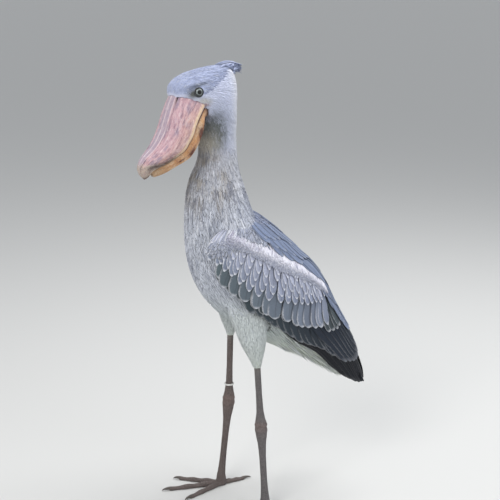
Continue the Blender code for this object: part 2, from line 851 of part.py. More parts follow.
def crest(look):
    """The short pointed tuft at the back of the crown, feather by feather on a low pad."""
    rng = random.Random(SEED + 5)
    rings = []
    for forward, top, low, wide in CREST_PAD:
        ring = []
        for n in range(12):
            angle = 2 * math.pi * n / 12
            z = (top + low) / 2 + (top - low) / 2 * math.cos(angle)
            ring.append(head_point(forward, wide * math.sin(angle), z))
        rings.append(ring)
    pad = loft("crest", rings, look)
    vanes = []
    count = 7
    for n in range(count):
        k = 2 * n / (count - 1) - 1
        root = np.array([-0.024, 0.012 * k, 1.182 - 0.003 * k * k])
        tip = np.array([-0.076 + 0.016 * abs(k) + rng.uniform(-0.002, 0.002), 0.011 * k,
                        1.1660 - 0.006 * abs(k) + 0.003 * (n % 2)])
        middle = (root + tip) / 2 + np.array([-0.002, 0.002 * k, 0.0065])
        centres = []
        for step, wide in LONG_TIP:
            at = root * (1 - step) ** 2 + middle * 2 * step * (1 - step) + tip * step ** 2
            centres.append(np.array(head_point(*at)))
        line = centres[-1] - centres[0]
        up = np.array([0.0, 0.0, 1.0])
        side = unit(np.cross(up, line))
        normal = unit(np.cross(line, side))
        if normal[2] < 0:
            normal = -normal
        vanes.append(
            ribbon(
                "vane",
                centres,
                [side] * 5,
                [normal] * 5,
                [0.0042 * w for s, w in LONG_TIP],
                [0.0012, 0.0011, 0.0010, 0.0008, 0.0006],
                [0.0006 * w for s, w in LONG_TIP],
                look,
            )
        )
    return combine(pad, vanes, "UNION")


def torso_rings(grow):
    """The body's sections, at and half way between the rows of its table."""
    return [body_ring(row_at(TORSO, n / 2), grow) for n in range(2 * len(TORSO) - 1)]


def eye_places():
    """The middle of each eye, left first, with the way that it looks."""
    middle = np.array(head_point(0, 0, 0))
    ahead = np.array(head_point(1, 0, 0)) - middle
    places = []
    for way in (1, -1):
        place = np.array(head_point(EYE_PLACE[0], EYE_PLACE[1] * way, EYE_PLACE[2]))
        out = np.array(head_point(0, way, 0)) - middle
        places.append((place, unit(out + ahead * 0.25)))
    return places


def seam(offset, upper, look):
    """A block that fills the space above or below the slanting seam under the cheek."""
    near = 0.30
    slope = 0.10
    level = 1.058 + offset
    corners = []
    for x in (-near, near):
        for u in (-near, near):
            corners.append((x, -u, level + slope * (u - HEAD_AXIS_U)))
    far = 1.6 if upper else 0.7
    points = corners + [(c[0], c[1], far) for c in corners]
    faces = [
        (0, 1, 3, 2), (4, 6, 7, 5), (0, 4, 5, 1),
        (1, 5, 7, 3), (3, 7, 6, 2), (2, 6, 4, 0),
    ]
    return make_object("seam", points, faces, look)


def nostril(way, look):
    """A cutter for the slit in the groove beside the keel, near the base of the bill."""
    start, end = NOSTRIL_REACH
    rings = []
    for k, wide in ((0.0, 0.25), (0.25, 0.9), (0.6, 1.0), (1.0, 0.2)):
        row = row_at(BILL_UPPER, start + (end - start) * k)
        top = np.array([row[0], row[1]])
        low = np.array([row[2], row[3]])
        ends = []
        for across, drop in ((0.30, 0.080), (0.46, 0.116)):
            at = top + (low - top) * drop
            ends.append(np.array(head_point(at[0], way * row[4] * across, at[1])))
        middle = (ends[0] + ends[1]) / 2
        side = unit(ends[1] - ends[0])
        inward = unit(np.array(head_point(0.10, 0.0, 1.05)) - middle)
        reach = NOSTRIL_WIDTH * wide
        ring = []
        for share, depth in NOSTRIL_SECTION:
            ring.append(middle + side * reach * share + inward * depth)
        rings.append(ring)
    return loft("nostril", rings, look)


def head_and_neck(look):
    """The head with its lids, and the neck, parted below the cheek by a slanting seam."""
    rows = [row_at(NECK, n / 2) for n in range(2 * len(NECK) - 1)]
    rings = [body_ring(row, 0.0, 20, 2.05, 0.04) for row in rows]
    neck = loft("neck", rings, look)
    head = loft("head", head_rings(), look)
    pieces = [loft("stub", rings[:6], look)]
    for place, out in eye_places():
        edge = place + out * 0.0085
        pieces.append(ring_round("lid", edge, out, LID_RADIUS, LID_THICK, look, 14, 5, 0.9))
    combine(head, pieces, "UNION")
    combine(head, [seam(GAP, False, look)], "DIFFERENCE")
    combine(neck, [seam(0.0, True, look)], "DIFFERENCE")
    return head, neck


def bill(head, neck, look):
    """The two halves of the bill, with the head and neck cut clear of them."""
    upper = loft("bill_upper", bill_upper_rings(), look)
    combine(upper, [nostril(1, look), nostril(-1, look)], "DIFFERENCE")
    loft("bill_lower", bill_lower_rings(), look)
    combine(head, [loft("cut", bill_upper_rings(GAP), look)], "DIFFERENCE")
    combine(head, [loft("cut", bill_lower_rings(GAP), look)], "DIFFERENCE")
    combine(neck, [loft("cut", bill_lower_rings(GAP), look)], "DIFFERENCE")


def eyes(head, look):
    """The eyes in sockets cut in the head."""
    for (place, out), side in zip(eye_places(), ("left", "right")):
        combine(head, [sphere("cut", place, EYE_RADIUS + GAP, look)], "DIFFERENCE")
        sphere("eye_" + side, place, EYE_RADIUS, look)


def wings(look):
    """Both wings over the body, mirrored before each is cut clear of the body and tail."""
    wing = wing_left(look)
    wing.name = "wing_left"
    half = box("half", (-0.3, -0.6, 0.0), (0.5 * GAP, 0.6, 1.2), look)
    combine(wing, [half], "DIFFERENCE")
    for folded in (wing, mirrored(wing, "wing_right")):
        combine(folded, [loft("cut", torso_rings(GAP), look)], "DIFFERENCE")
        combine(folded, [tail("cut", GAP, look)], "DIFFERENCE")


def thigh(name, table, look):
    rows = [row_at(table, n / 2) for n in range(2 * len(table) - 1)]
    made = loft(name, thigh_rings(rows), look)
    combine(made, [loft("cut", torso_rings(GAP), look)], "DIFFERENCE")


def leg_ring(top, ankle, look, count=20):
    """The plain band above an ankle."""
    middle = leg_place(top, ankle, ankle, RING_SHARE)
    half = RING_HEIGHT / 2
    points = []
    for lift, reach in (
        (-half, RING_OUTSIDE),
        (half, RING_OUTSIDE),
        (half, RING_INSIDE),
        (-half, RING_INSIDE),
    ):
        for n in range(count):
            angle = 2 * math.pi * n / count
            x = middle[2] + reach[0] * math.cos(angle)
            u = middle[0] + reach[1] * math.sin(angle)
            points.append((x, -u, middle[1] + lift))
    faces = []
    for i in range(4):
        for k in range(count):
            a = i * count + k
            b = i * count + (k + 1) % count
            c = ((i + 1) % 4) * count + k
            d = ((i + 1) % 4) * count + (k + 1) % count
            faces += [(a, b, d), (a, d, c)]
    make_object("leg_ring", points, faces, look)


def finish_objects():
    """Sets the model over the origin and shades its round pieces smooth."""
    for obj in bpy.context.scene.objects:
        for vertex in obj.data.vertices:
            vertex.co.x -= CENTRE_X
            vertex.co.y += CENTRE_U
        obj.data.shade_smooth()
        obj.data.set_sharp_from_angle(angle=SMOOTH_ANGLE)


def build():
    clear_scene()
    grey = material("feather_grey", (0.42, 0.45, 0.50), 0.85)
    slate = material("feather_slate", (0.16, 0.19, 0.24), 0.80)
    horn = material("bill_horn", (0.62, 0.42, 0.34), 0.55)
    skin = material("leg_skin", (0.14, 0.11, 0.10), 0.70)
    pale = material("eye_pale", (0.75, 0.76, 0.70), 0.15)
    metal = material("ring_metal", (0.75, 0.75, 0.74), 0.40)
    metal.node_tree.nodes["Principled BSDF"].inputs["Metallic"].default_value = 1.0

    loft("torso", torso_rings(0.0), grey)
    head, neck = head_and_neck(grey)
    bill(head, neck, horn)
    eyes(head, pale)
    combine(crest(slate), [loft("cut", head_rings(GAP), grey)], "DIFFERENCE")
    tail("tail", 0.0, slate)
    wings(slate)
    for side, table, place, ankle, way in (
        ("left", THIGH_LEFT, LEFT_FOOT, ANKLE_LEFT, 1),
        ("right", THIGH_RIGHT, RIGHT_FOOT, ANKLE_RIGHT, -1),
    ):
        thigh("thigh_" + side, table, grey)
        top = (table[-1][0], table[-1][1] - GAP, table[-1][2])
        base = (place[1], FOOT_TOP + GAP, place[0])
        loft("leg_" + side, leg_rings(top, ankle, base), skin)
        foot("foot_" + side, place, way, skin)
    leg_ring(THIGH_RIGHT[-1][:3], ANKLE_RIGHT, metal)
    finish_objects()


build()
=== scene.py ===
import math
from dataclasses import dataclass
from itertools import product
from types import SimpleNamespace

import bmesh
import bpy
import numpy as np
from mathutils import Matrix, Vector, noise
from mathutils.bvhtree import BVHTree


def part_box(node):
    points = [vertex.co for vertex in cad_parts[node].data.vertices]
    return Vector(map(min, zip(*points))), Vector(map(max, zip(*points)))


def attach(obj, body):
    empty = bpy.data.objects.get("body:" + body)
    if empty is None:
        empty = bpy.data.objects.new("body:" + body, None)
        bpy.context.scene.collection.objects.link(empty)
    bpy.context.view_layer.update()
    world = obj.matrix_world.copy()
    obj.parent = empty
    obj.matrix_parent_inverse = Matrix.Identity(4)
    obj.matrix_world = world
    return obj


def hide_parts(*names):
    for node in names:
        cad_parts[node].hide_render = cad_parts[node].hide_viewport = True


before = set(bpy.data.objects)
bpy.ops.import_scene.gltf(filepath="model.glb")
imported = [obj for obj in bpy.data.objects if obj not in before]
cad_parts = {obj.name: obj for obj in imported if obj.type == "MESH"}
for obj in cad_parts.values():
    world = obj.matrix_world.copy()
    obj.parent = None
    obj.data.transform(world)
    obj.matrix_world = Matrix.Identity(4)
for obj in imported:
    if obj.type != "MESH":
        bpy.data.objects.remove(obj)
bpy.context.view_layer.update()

# The frame: x to the bird's left, y = -u - CENTRE_Y with u the distance forward, z up.
CENTRE_X = 0.009
CENTRE_Y = 0.035
HEAD_YAW = math.radians(20.0)
HEAD_AXIS_U = 0.06
EYE_PLACE = (0.100, 0.0435, 1.126)
EYE_RADIUS = 0.0125
IRIS_RADIUS = 0.0116
SIDES = (("left", 1), ("right", -1))
FLESH = ("torso", "neck", "head", "thigh_left", "thigh_right")
UP = np.array([0.0, 0.0, 1.0])

# Voxels of the skin, of the surface that feathers lie on, of the tail and of the feet.
SKIN_VOXEL = 0.003
HULL_VOXEL = 0.005
TAIL_VOXEL = 0.0025
FOOT_VOXEL = 0.0011
BAKE_PATCH = 0.003
VANE_THICK = 0.00075
COVER_REACH = 0.05
OUTSIDE_GAP = 0.006

# Camera: the photograph's, in metres and degrees.
CAMERA_PLACE = (2.4637, -0.8384, 1.35)
CAMERA_TURN = 72.0 - 0.394
CAMERA_TILT = 13.97
CAMERA_LENS = 73.37
FLOOR_HALF = 3000.0
SKY_STRENGTH = 0.62
LAMPS = (
    ("key", (2.2, -2.4, 3.2), 1.8, 95.0, (1.0, 0.98, 0.95)),
    ("fill", (3.0, 2.2, 1.8), 2.2, 25.0, (0.92, 0.96, 1.0)),
    ("top", (-0.4, 1.4, 3.3), 2.4, 85.0, (1.0, 1.0, 1.0)),
)

# Upper bill: culmen forward, z, cutting edge forward, z, half width; then its half section.
BILL_UPPER = (
    (0.1386, 1.1300, 0.0816, 1.0950, 0.0465), (0.141, 1.126, 0.084, 1.091, 0.049),
    (0.153, 1.103, 0.098, 1.073, 0.0535), (0.163, 1.079, 0.110, 1.056, 0.0560),
    (0.174, 1.051, 0.118, 1.039, 0.0570), (0.186, 1.024, 0.126, 1.020, 0.0565),
    (0.204, 0.999, 0.144, 0.991, 0.0525), (0.221, 0.983, 0.157, 0.979, 0.0465),
    (0.235, 0.971, 0.172, 0.967, 0.0395), (0.245, 0.958, 0.187, 0.957, 0.0320),
    (0.2485, 0.946, 0.203, 0.949, 0.0225), (0.244, 0.932, 0.215, 0.939, 0.0140),
    (0.232, 0.9195, 0.222, 0.926, 0.0065),
)
UPPER_FORM = ((0.00, 0.000), (0.20, 0.012), (0.32, 0.070), (0.56, 0.150), (0.81, 0.340),
              (0.95, 0.640), (1.00, 0.985), (0.86, 1.010), (0.45, 0.930), (0.00, 0.900))

# Lower bill: top edge forward, z, lower edge forward, z, half width; then its half section.
BILL_LOWER = (
    (0.066, 1.092, 0.060, 1.062, 0.0360), (0.082, 1.084, 0.073, 1.056, 0.0430),
    (0.098, 1.066, 0.0755, 1.034, 0.0480), (0.111, 1.049, 0.084, 1.012, 0.0500),
    (0.124, 1.020, 0.096, 0.990, 0.0495), (0.142, 0.991, 0.113, 0.968, 0.0460),
    (0.156, 0.978, 0.128, 0.957, 0.0405), (0.171, 0.966, 0.146, 0.948, 0.0335),
    (0.186, 0.956, 0.165, 0.938, 0.0255), (0.202, 0.947, 0.187, 0.928, 0.0165),
    (0.216, 0.937, 0.206, 0.923, 0.0075),
)
LOWER_FORM = ((0.00, 0.120), (0.70, 0.040), (1.00, 0.010), (1.02, 0.300), (0.92, 0.700),
              (0.66, 0.980), (0.30, 1.000), (0.00, 0.960))

# Folded wing surface: back edge u, z, lower edge u, z, half width, arc in degrees.
WING = (
    (-0.010, 0.815, 0.120, 0.765, 0.092, 100.0), (-0.050, 0.790, 0.136, 0.722, 0.111, 115.0),
    (-0.100, 0.748, 0.115, 0.672, 0.122, 122.0), (-0.150, 0.700, 0.080, 0.618, 0.128, 125.0),
    (-0.195, 0.655, 0.030, 0.572, 0.128, 122.0), (-0.228, 0.605, -0.025, 0.538, 0.122, 115.0),
    (-0.254, 0.552, -0.078, 0.503, 0.110, 108.0), (-0.284, 0.500, -0.133, 0.462, 0.092, 100.0),
    (-0.315, 0.444, -0.195, 0.425, 0.072, 95.0), (-0.340, 0.395, -0.245, 0.375, 0.054, 90.0),
    (-0.356, 0.345, -0.290, 0.330, 0.038, 90.0), (-0.366, 0.300, -0.328, 0.290, 0.024, 90.0),
)

# Where rows of wing feathers end, as s from shoulder to tip and t from back to lower edge.
PRIMARY_NEAR = ((0.880, 1.00), (0.930, 0.98), (0.972, 0.86), (0.990, 0.70), (0.996, 0.52))
PRIMARY_FAR = ((0.900, 1.00), (0.950, 0.98), (0.990, 0.72), (1.0, 0.45), (1.0, 0.22))
SECONDARY_LINE = ((0.400, 0.985), (0.460, 0.985), (0.547, 1.00), (0.657, 0.985), (0.715, 0.93),
                  (0.770, 0.88), (0.815, 0.80))
TERTIAL_LINE = ((0.835, 0.76), (0.850, 0.60), (0.845, 0.44), (0.800, 0.30), (0.720, 0.14))
GREATER_LINE = ((0.200, 0.985), (0.284, 0.957), (0.344, 0.935), (0.444, 0.930), (0.534, 0.862),
                (0.592, 0.727), (0.602, 0.560))
GREATER_REAR = ((0.640, 0.62), (0.655, 0.50), (0.640, 0.38))
MEDIAN_LINE = ((0.080, 0.985), (0.137, 0.947), (0.220, 0.868), (0.322, 0.829), (0.397, 0.749),
               (0.451, 0.643), (0.489, 0.449))
ARM_LINE = ((0.030, 0.930), (0.056, 0.860), (0.126, 0.686), (0.210, 0.579), (0.302, 0.495),
            (0.390, 0.400), (0.470, 0.330))
BAND_LINE = ((0.012, 0.800), (0.051, 0.697), (0.173, 0.539), (0.263, 0.410), (0.372, 0.335),
             (0.470, 0.290))
SCAPULAR_LINES = (
    ((0.620, 0.060), (0.700, 0.160), (0.690, 0.250), (0.620, 0.290), (0.480, 0.310)),
    ((0.500, 0.050), (0.580, 0.150), (0.560, 0.240), (0.450, 0.300), (0.330, 0.360)),
    ((0.380, 0.040), (0.450, 0.150), (0.410, 0.250), (0.310, 0.320), (0.210, 0.420)),
    ((0.270, 0.040), (0.330, 0.150), (0.280, 0.260), (0.220, 0.340), (0.160, 0.440)),
    ((0.170, 0.040), (0.230, 0.150), (0.200, 0.260), (0.160, 0.350), (0.130, 0.440)),
)

# Outlines of a feather: place along it, share of its half width there.
BODY_FORM = ((0.0, 0.50), (0.32, 1.0), (0.66, 0.84), (0.89, 0.42))
LANCE_FORM = ((0.0, 0.50), (0.22, 0.95), (0.48, 1.0), (0.72, 0.66), (0.90, 0.30))
LONG_TIP = ((0.0, 0.30), (0.08, 0.62), (0.30, 0.90), (0.62, 1.00), (0.85, 0.94), (0.94, 0.70),
            (0.985, 0.36))
POINT_TIP = ((0.0, 0.45), (0.18, 0.82), (0.42, 1.00), (0.66, 0.98), (0.80, 0.80), (0.90, 0.52),
             (0.98, 0.18))
BROAD_TIP = ((0.0, 0.45), (0.15, 0.78), (0.40, 0.97), (0.64, 1.00), (0.80, 0.90), (0.91, 0.64),
             (0.985, 0.26))

# Sections of a vane: share of the half width, share of the thickness.
THIN = ((-1.0, 0.0), (0.0, 1.0), (1.0, 0.0))
FULL = ((-1.0, 0.0), (-0.72, 0.55), (-0.36, 0.85), (-0.07, 1.0), (0.0, 1.5), (0.07, 1.0),
        (0.36, 0.85), (0.72, 0.55), (1.0, 0.0), (0.36, 0.1), (-0.36, 0.1))

# Bare legs: share of the way down, half width across, half depth; then joints as u, z, x.
LEG_FORM = (
    (0.00, 0.0085, 0.0085), (0.30, 0.0080, 0.0082), (0.46, 0.0088, 0.0095),
    (0.54, 0.0112, 0.0130), (0.590, 0.0138, 0.0168), (0.625, 0.0142, 0.0175),
    (0.665, 0.0122, 0.0150), (0.71, 0.0094, 0.0112), (0.78, 0.0080, 0.0092),
    (0.88, 0.0078, 0.0088), (0.94, 0.0086, 0.0096), (1.00, 0.0112, 0.0118),
)
LEGS = {
    "left": ((-0.009, 0.410, 0.090), (-0.018, 0.239, 0.095), (-0.030, 0.030, 0.095)),
    "right": ((0.014, 0.452, -0.072), (0.018, 0.253, -0.077), (0.042, 0.030, -0.077)),
}
ANKLE_AT = 0.625

# Toes: turn in degrees, length, claw, share of the full size; then the hub: z, half sizes.
TOES = ((4.0, 0.150, 0.026, 1.00), (32.0, 0.125, 0.023, 0.94), (-27.0, 0.120, 0.024, 0.94),
        (172.0, 0.072, 0.026, 0.88))
TOE_WIDTH = 0.0095
TOE_HEIGHT = 0.0150
HUB = ((0.0, 0.0105, 0.0125), (0.004, 0.0128, 0.0148), (0.012, 0.0136, 0.0152),
       (0.020, 0.0128, 0.0140), (0.028, 0.0118, 0.0126), (0.038, 0.0106, 0.0112))

# Lid section: distance from the eye's axis, height along it, share of the outer colour.
LID = (
    (0.0098, 0.0068, 0.0), (0.0102, 0.0080, 0.0), (0.0107, 0.0086, 0.1), (0.0113, 0.0086, 0.35),
    (0.0121, 0.0077, 0.75), (0.0131, 0.0060, 1.0), (0.0143, 0.0036, 1.0), (0.0140, 0.0010, 1.0),
    (0.0125, 0.0020, 0.5), (0.0108, 0.0035, 0.0),
)

# The body's middle line, forward and up; then the way feathers lie by height: z, forward, up.
SPINE = ((0.055, 1.215), (0.070, 1.080), (0.070, 0.950), (0.070, 0.880), (0.050, 0.780),
         (0.010, 0.690), (-0.060, 0.590), (-0.150, 0.480), (-0.250, 0.380), (-0.370, 0.270))
FLOW = ((0.30, -0.75, -0.70), (0.50, -0.70, -0.75), (0.64, -0.60, -0.80), (0.76, -0.35, -0.95),
        (0.86, -0.12, -1.00), (0.95, -0.05, -1.00), (1.05, -0.25, -1.00), (1.12, -0.80, -0.60),
        (1.20, -0.95, -0.30))


def srgb(r, g, b):
    """A colour as it looks on screen, 0 to 255, in the shader's linear terms."""
    return np.array([((c / 255 + 0.055) / 1.055) ** 2.4 for c in (r, g, b)])


HUE = SimpleNamespace(
    crown=srgb(164, 174, 206), crown_dark=srgb(112, 122, 158), crown_pale=srgb(208, 214, 230),
    cheek=srgb(198, 204, 228), cheek_dark=srgb(74, 82, 80), nape=srgb(224, 226, 234),
    lore=srgb(72, 74, 66), brow=srgb(80, 88, 106), bare=srgb(186, 184, 182),
    gape=srgb(128, 82, 74), throat=srgb(186, 180, 166),
    neck=srgb(180, 182, 191), neck_dark=srgb(112, 104, 98), neck_warm=srgb(150, 141, 128),
    breast=srgb(194, 199, 211), breast_dark=srgb(108, 114, 134), belly=srgb(188, 196, 196),
    vent=srgb(194, 202, 188), thigh=srgb(206, 212, 212), back=srgb(112, 122, 150),
    covert=srgb(136, 143, 166), covert_low=srgb(84, 96, 102), band=srgb(222, 221, 232),
    band_dark=srgb(152, 150, 170), scapular=srgb(102, 114, 140), secondary=srgb(52, 62, 68),
    tertial=srgb(32, 39, 51), primary=srgb(15, 18, 26), fringe=srgb(226, 228, 236),
    lid_rim=srgb(24, 26, 28), lid_low=srgb(62, 68, 76), lid_high=srgb(132, 136, 138),
    leg_left=srgb(100, 95, 96), leg_right=srgb(98, 84, 80), ankle=srgb(128, 104, 98),
    leg_top=srgb(128, 122, 116),
)
HORN = SimpleNamespace(
    pink=srgb(190, 155, 163), orange=srgb(208, 164, 132), violet=srgb(150, 134, 152),
    dusk=srgb(112, 92, 106), pale=srgb(220, 206, 208), brown=srgb(64, 46, 40),
    cream=srgb(220, 200, 156), bone=srgb(178, 166, 150), rear=srgb(134, 84, 72),
    slit=srgb(40, 26, 24), ochre=srgb(204, 152, 104), buff=srgb(222, 188, 150),
    tan=srgb(170, 118, 92), blood=srgb(90, 38, 24), gape=srgb(150, 118, 104),
    lip=srgb(62, 44, 36), tip=srgb(160, 136, 106), pouch=srgb(150, 146, 138),
)


# Small helpers for numbers.

def unit(v):
    return v / np.maximum(np.linalg.norm(v, axis=-1, keepdims=True), 1e-12)


def smooth(low, high, x):
    k = np.clip((np.asarray(x, float) - low) / (high - low), 0, 1)
    return k * k * (3 - 2 * k)


def mix(a, b, k):
    return a + (b - a) * k


def layered(colour, *layers):
    """A colour with others laid over it in turn, each by its share at each point."""
    for other, share in layers:
        colour = mix(colour, other, share[:, None])
    return colour


def gauss(x, at, reach):
    return np.exp(-(((x - at) / reach) ** 2))


def spot(a, b, at, reach):
    """A soft spot on a surface with two coordinates."""
    return np.exp(-(((a - at[0]) / reach[0]) ** 2 + ((b - at[1]) / reach[1]) ** 2))


def turns(count):
    """Angles all round."""
    return np.linspace(0, 2 * math.pi, count, endpoint=False)


def rows_at(table, place):
    """Rows of a table at fractional row numbers, on a smooth curve through the rows."""
    rows = np.asarray(table, float)
    last = len(rows) - 1
    i = np.clip(np.floor(place).astype(int), 0, last - 1)
    f = (place - i)[..., None]
    p1 = rows[i]
    p2 = rows[i + 1]
    p0 = np.where((i > 0)[..., None], rows[np.maximum(i - 1, 0)], 2 * p1 - p2)
    p3 = np.where((i + 2 <= last)[..., None], rows[np.minimum(i + 2, last)], 2 * p2 - p1)
    square = (2 * p0 - 5 * p1 + 4 * p2 - p3) * f**2
    inside = 0.5 * (2 * p1 + (p2 - p0) * f + square + (3 * p1 - p0 - 3 * p2 + p3) * f**3)
    return np.where(f > 1, p2 + (p2 - p1) * (f - 1), inside)


def along_line(points, k):
    """Places on a broken line, k from 0 to 1 of its length."""
    points = np.asarray(points, float)
    steps = np.linalg.norm(np.diff(points, axis=0), axis=1)
    run = np.concatenate([[0], np.cumsum(steps)]) / steps.sum()
    return np.stack([np.interp(k, run, column) for column in points.T], axis=-1)


def wobble(points, size, seed):
    """Soft noise from -1 to 1 at each point, with features of the given size."""
    shift = np.array([17.3, 5.1, 9.7]) * seed
    return np.array([noise.noise(Vector(p)) for p in points / size + shift])


def body_point(x, u, z):
    """A point given to the bird's left, forward and up."""
    return np.stack(np.broadcast_arrays(x - CENTRE_X, -u - CENTRE_Y, z), axis=-1).astype(float)


def in_body(points):
    """Forward and up."""
    return -points[..., 1] - CENTRE_Y, points[..., 2]


def head_point(forward, side, z):
    """A point in the turned head: distance forward of its axis, to its left, and up."""
    x = forward * math.sin(HEAD_YAW) + side * math.cos(HEAD_YAW)
    u = HEAD_AXIS_U + forward * math.cos(HEAD_YAW) - side * math.sin(HEAD_YAW)
    return body_point(x, u, z)


def in_head(points):
    """Forward, side and z in the turned head for points of the frame."""
    x = points[..., 0] + CENTRE_X
    u = -points[..., 1] - CENTRE_Y - HEAD_AXIS_U
    forward = x * math.sin(HEAD_YAW) + u * math.cos(HEAD_YAW)
    side = x * math.cos(HEAD_YAW) - u * math.sin(HEAD_YAW)
    return forward, side, points[..., 2]


HEAD_AHEAD = unit(head_point(1.0, 0.0, 0.0) - head_point(0.0, 0.0, 0.0))
HEAD_LEFT = unit(head_point(0.0, 1.0, 0.0) - head_point(0.0, 0.0, 0.0))


# Meshes.

def fast_mesh(points, groups):
    """A mesh from points and arrays of faces, each array with its own number of corners."""
    mesh = bpy.data.meshes.new("mesh")
    points = np.asarray(points, np.float32)
    mesh.vertices.add(len(points))
    mesh.vertices.foreach_set("co", points.ravel())
    sizes = np.concatenate([np.full(len(g), g.shape[1]) for g in groups])
    corners = np.concatenate([g.ravel() for g in groups]).astype(np.int32)
    mesh.loops.add(len(corners))
    mesh.loops.foreach_set("vertex_index", corners)
    mesh.polygons.add(len(sizes))
    starts = np.concatenate([[0], np.cumsum(sizes)[:-1]]).astype(np.int32)
    mesh.polygons.foreach_set("loop_start", starts)
    mesh.update(calc_edges=True)
    mesh.shade_smooth()
    return mesh


def turned_out(points, groups):
    """The same faces, all reversed where they would enclose a negative volume."""
    points = points - points.mean(axis=0)
    total = 0.0
    for g in groups:
        for k in range(1, g.shape[1] - 1):
            turn = np.cross(points[g[:, k]], points[g[:, k + 1]])
            total += (points[g[:, 0]] * turn).sum()
    return [g[:, ::-1] for g in groups] if total < 0 else groups


def grid_faces(rows, count, closed=False):
    """Quads between rings of the same number of points, the last to the first where closed."""
    i = np.arange(rows if closed else rows - 1)[:, None] * count
    k = np.arange(count)[None, :]
    a = i + k
    b = i + (k + 1) % count
    quads = np.stack([a, b, b + count, a + count], axis=-1).reshape(-1, 4)
    return quads % (rows * count) if closed else quads


def joined(meshes, outward=False):
    """Several meshes as one, with the faces turned outward if wanted."""
    work = bmesh.new()
    for mesh in meshes:
        work.from_mesh(mesh)
    if outward:
        bmesh.ops.recalc_face_normals(work, faces=work.faces)
    mesh = bpy.data.meshes.new("joined")
    work.to_mesh(mesh)
    work.free()
    return mesh


def tube_mesh(rings):
    """A closed mesh through rings, given as an array of ring, point and coordinate."""
    rows, count = rings.shape[:2]
    ends = np.stack([rings[0].mean(axis=0), rings[-1].mean(axis=0)])
    first = rows * count
    k = np.arange(count)
    root = np.stack([(k + 1) % count, k, np.full(count, first)], axis=-1)
    last = (rows - 1) * count
    tip = np.stack([last + k, last + (k + 1) % count, np.full(count, first + 1)], axis=-1)
    points = np.concatenate([rings.reshape(-1, 3), ends])
    return joined([fast_mesh(points, [grid_faces(rows, count), root, tip])], True)


def hoop_mesh(rings):
    """A closed hoop through rings, each a section of the hoop."""
    faces = grid_faces(*rings.shape[:2], closed=True)
    return joined([fast_mesh(rings.reshape(-1, 3), [faces])], True)


def with_ends(values):
    """Values for a tube's points, repeated for its two end points."""
    return np.concatenate([values, values[[0]], values[[-1]]])


def linked(name, data):
    obj = bpy.data.objects.new(name, data)
    bpy.context.scene.collection.objects.link(obj)
    return obj


def remeshed(mesh, voxel, factor, steps):
    """The mesh as one smooth surface."""
    obj = linked("rough", mesh)
    remesh = obj.modifiers.new("remesh", "REMESH")
    remesh.mode = "VOXEL"
    remesh.voxel_size = voxel
    relax = obj.modifiers.new("relax", "SMOOTH")
    relax.factor = factor
    relax.iterations = steps
    graph = bpy.context.evaluated_depsgraph_get()
    solid = bpy.data.meshes.new_from_object(obj.evaluated_get(graph))
    bpy.data.objects.remove(obj)
    return solid


def merged(nodes, voxel, steps):
    """One smooth surface over several CAD nodes."""
    return remeshed(joined([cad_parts[node].data for node in nodes]), voxel, 0.6, steps)


def read(mesh, what):
    """The points of a mesh for "co", or their normals for "normal"."""
    values = np.zeros(len(mesh.vertices) * 3, np.float32)
    mesh.vertices.foreach_get(what, values)
    return values.reshape(-1, 3).astype(float)


def move(mesh, points):
    """Puts the points of a mesh in new places."""
    mesh.vertices.foreach_set("co", points.astype(np.float32).ravel())
    mesh.update()
    mesh.shade_smooth()
    return mesh


def triangles(mesh):
    mesh.calc_loop_triangles()
    faces = np.zeros(len(mesh.loop_triangles) * 3, np.int32)
    mesh.loop_triangles.foreach_get("vertices", faces)
    return faces.reshape(-1, 3)


def set_colour(mesh, colours):
    """The painted colour of each point of the mesh."""
    layer = mesh.attributes.new("tone", "FLOAT_COLOR", "POINT")
    full = np.ones((len(mesh.vertices), 4), np.float32)
    full[:, :3] = np.clip(colours, 0, 1)
    layer.data.foreach_set("color", full.ravel())


def set_value(mesh, name, values):
    layer = mesh.attributes.new(name, "FLOAT", "POINT")
    layer.data.foreach_set("value", np.asarray(values, np.float32))


def set_uv(mesh, name, places):
    """A UV map from one place for each point of the mesh."""
    corners = np.zeros(len(mesh.loops), np.int32)
    mesh.loops.foreach_get("vertex_index", corners)
    layer = mesh.uv_layers.new(name=name)
    layer.data.foreach_set("uv", np.asarray(places, np.float32)[corners].ravel())


def add_piece(name, mesh, material, slot, *nodes):
    """A piece of the bird that rides on its one body and stands for the CAD nodes named."""
    mesh.name = name
    mesh.materials.append(material)
    obj = linked(name, mesh)
    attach(obj, "root")
    if nodes:
        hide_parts(*nodes)
    return obj


class Surface:
    """A mesh that feathers can be laid on, with smooth normals."""

    def __init__(self, mesh):
        self.points = read(mesh, "co")
        self.normals = read(mesh, "normal")
        self.faces = [list(p.vertices) for p in mesh.polygons]
        self.tree = BVHTree.FromPolygons([Vector(p) for p in self.points], self.faces)

    def nearest(self, places):
        """The nearest points of the surface and the normals there."""
        found = np.empty((len(places), 3))
        normals = np.empty((len(places), 3))
        for i, place in enumerate(places):
            found[i], flat, index, distance = self.tree.find_nearest(Vector(place))
            corners = self.faces[index]
            apart = np.linalg.norm(self.points[corners] - found[i], axis=1)
            weight = 1 / (apart + 1e-5)
            normals[i] = (self.normals[corners] * weight[:, None]).sum(axis=0)
        return found, unit(normals)


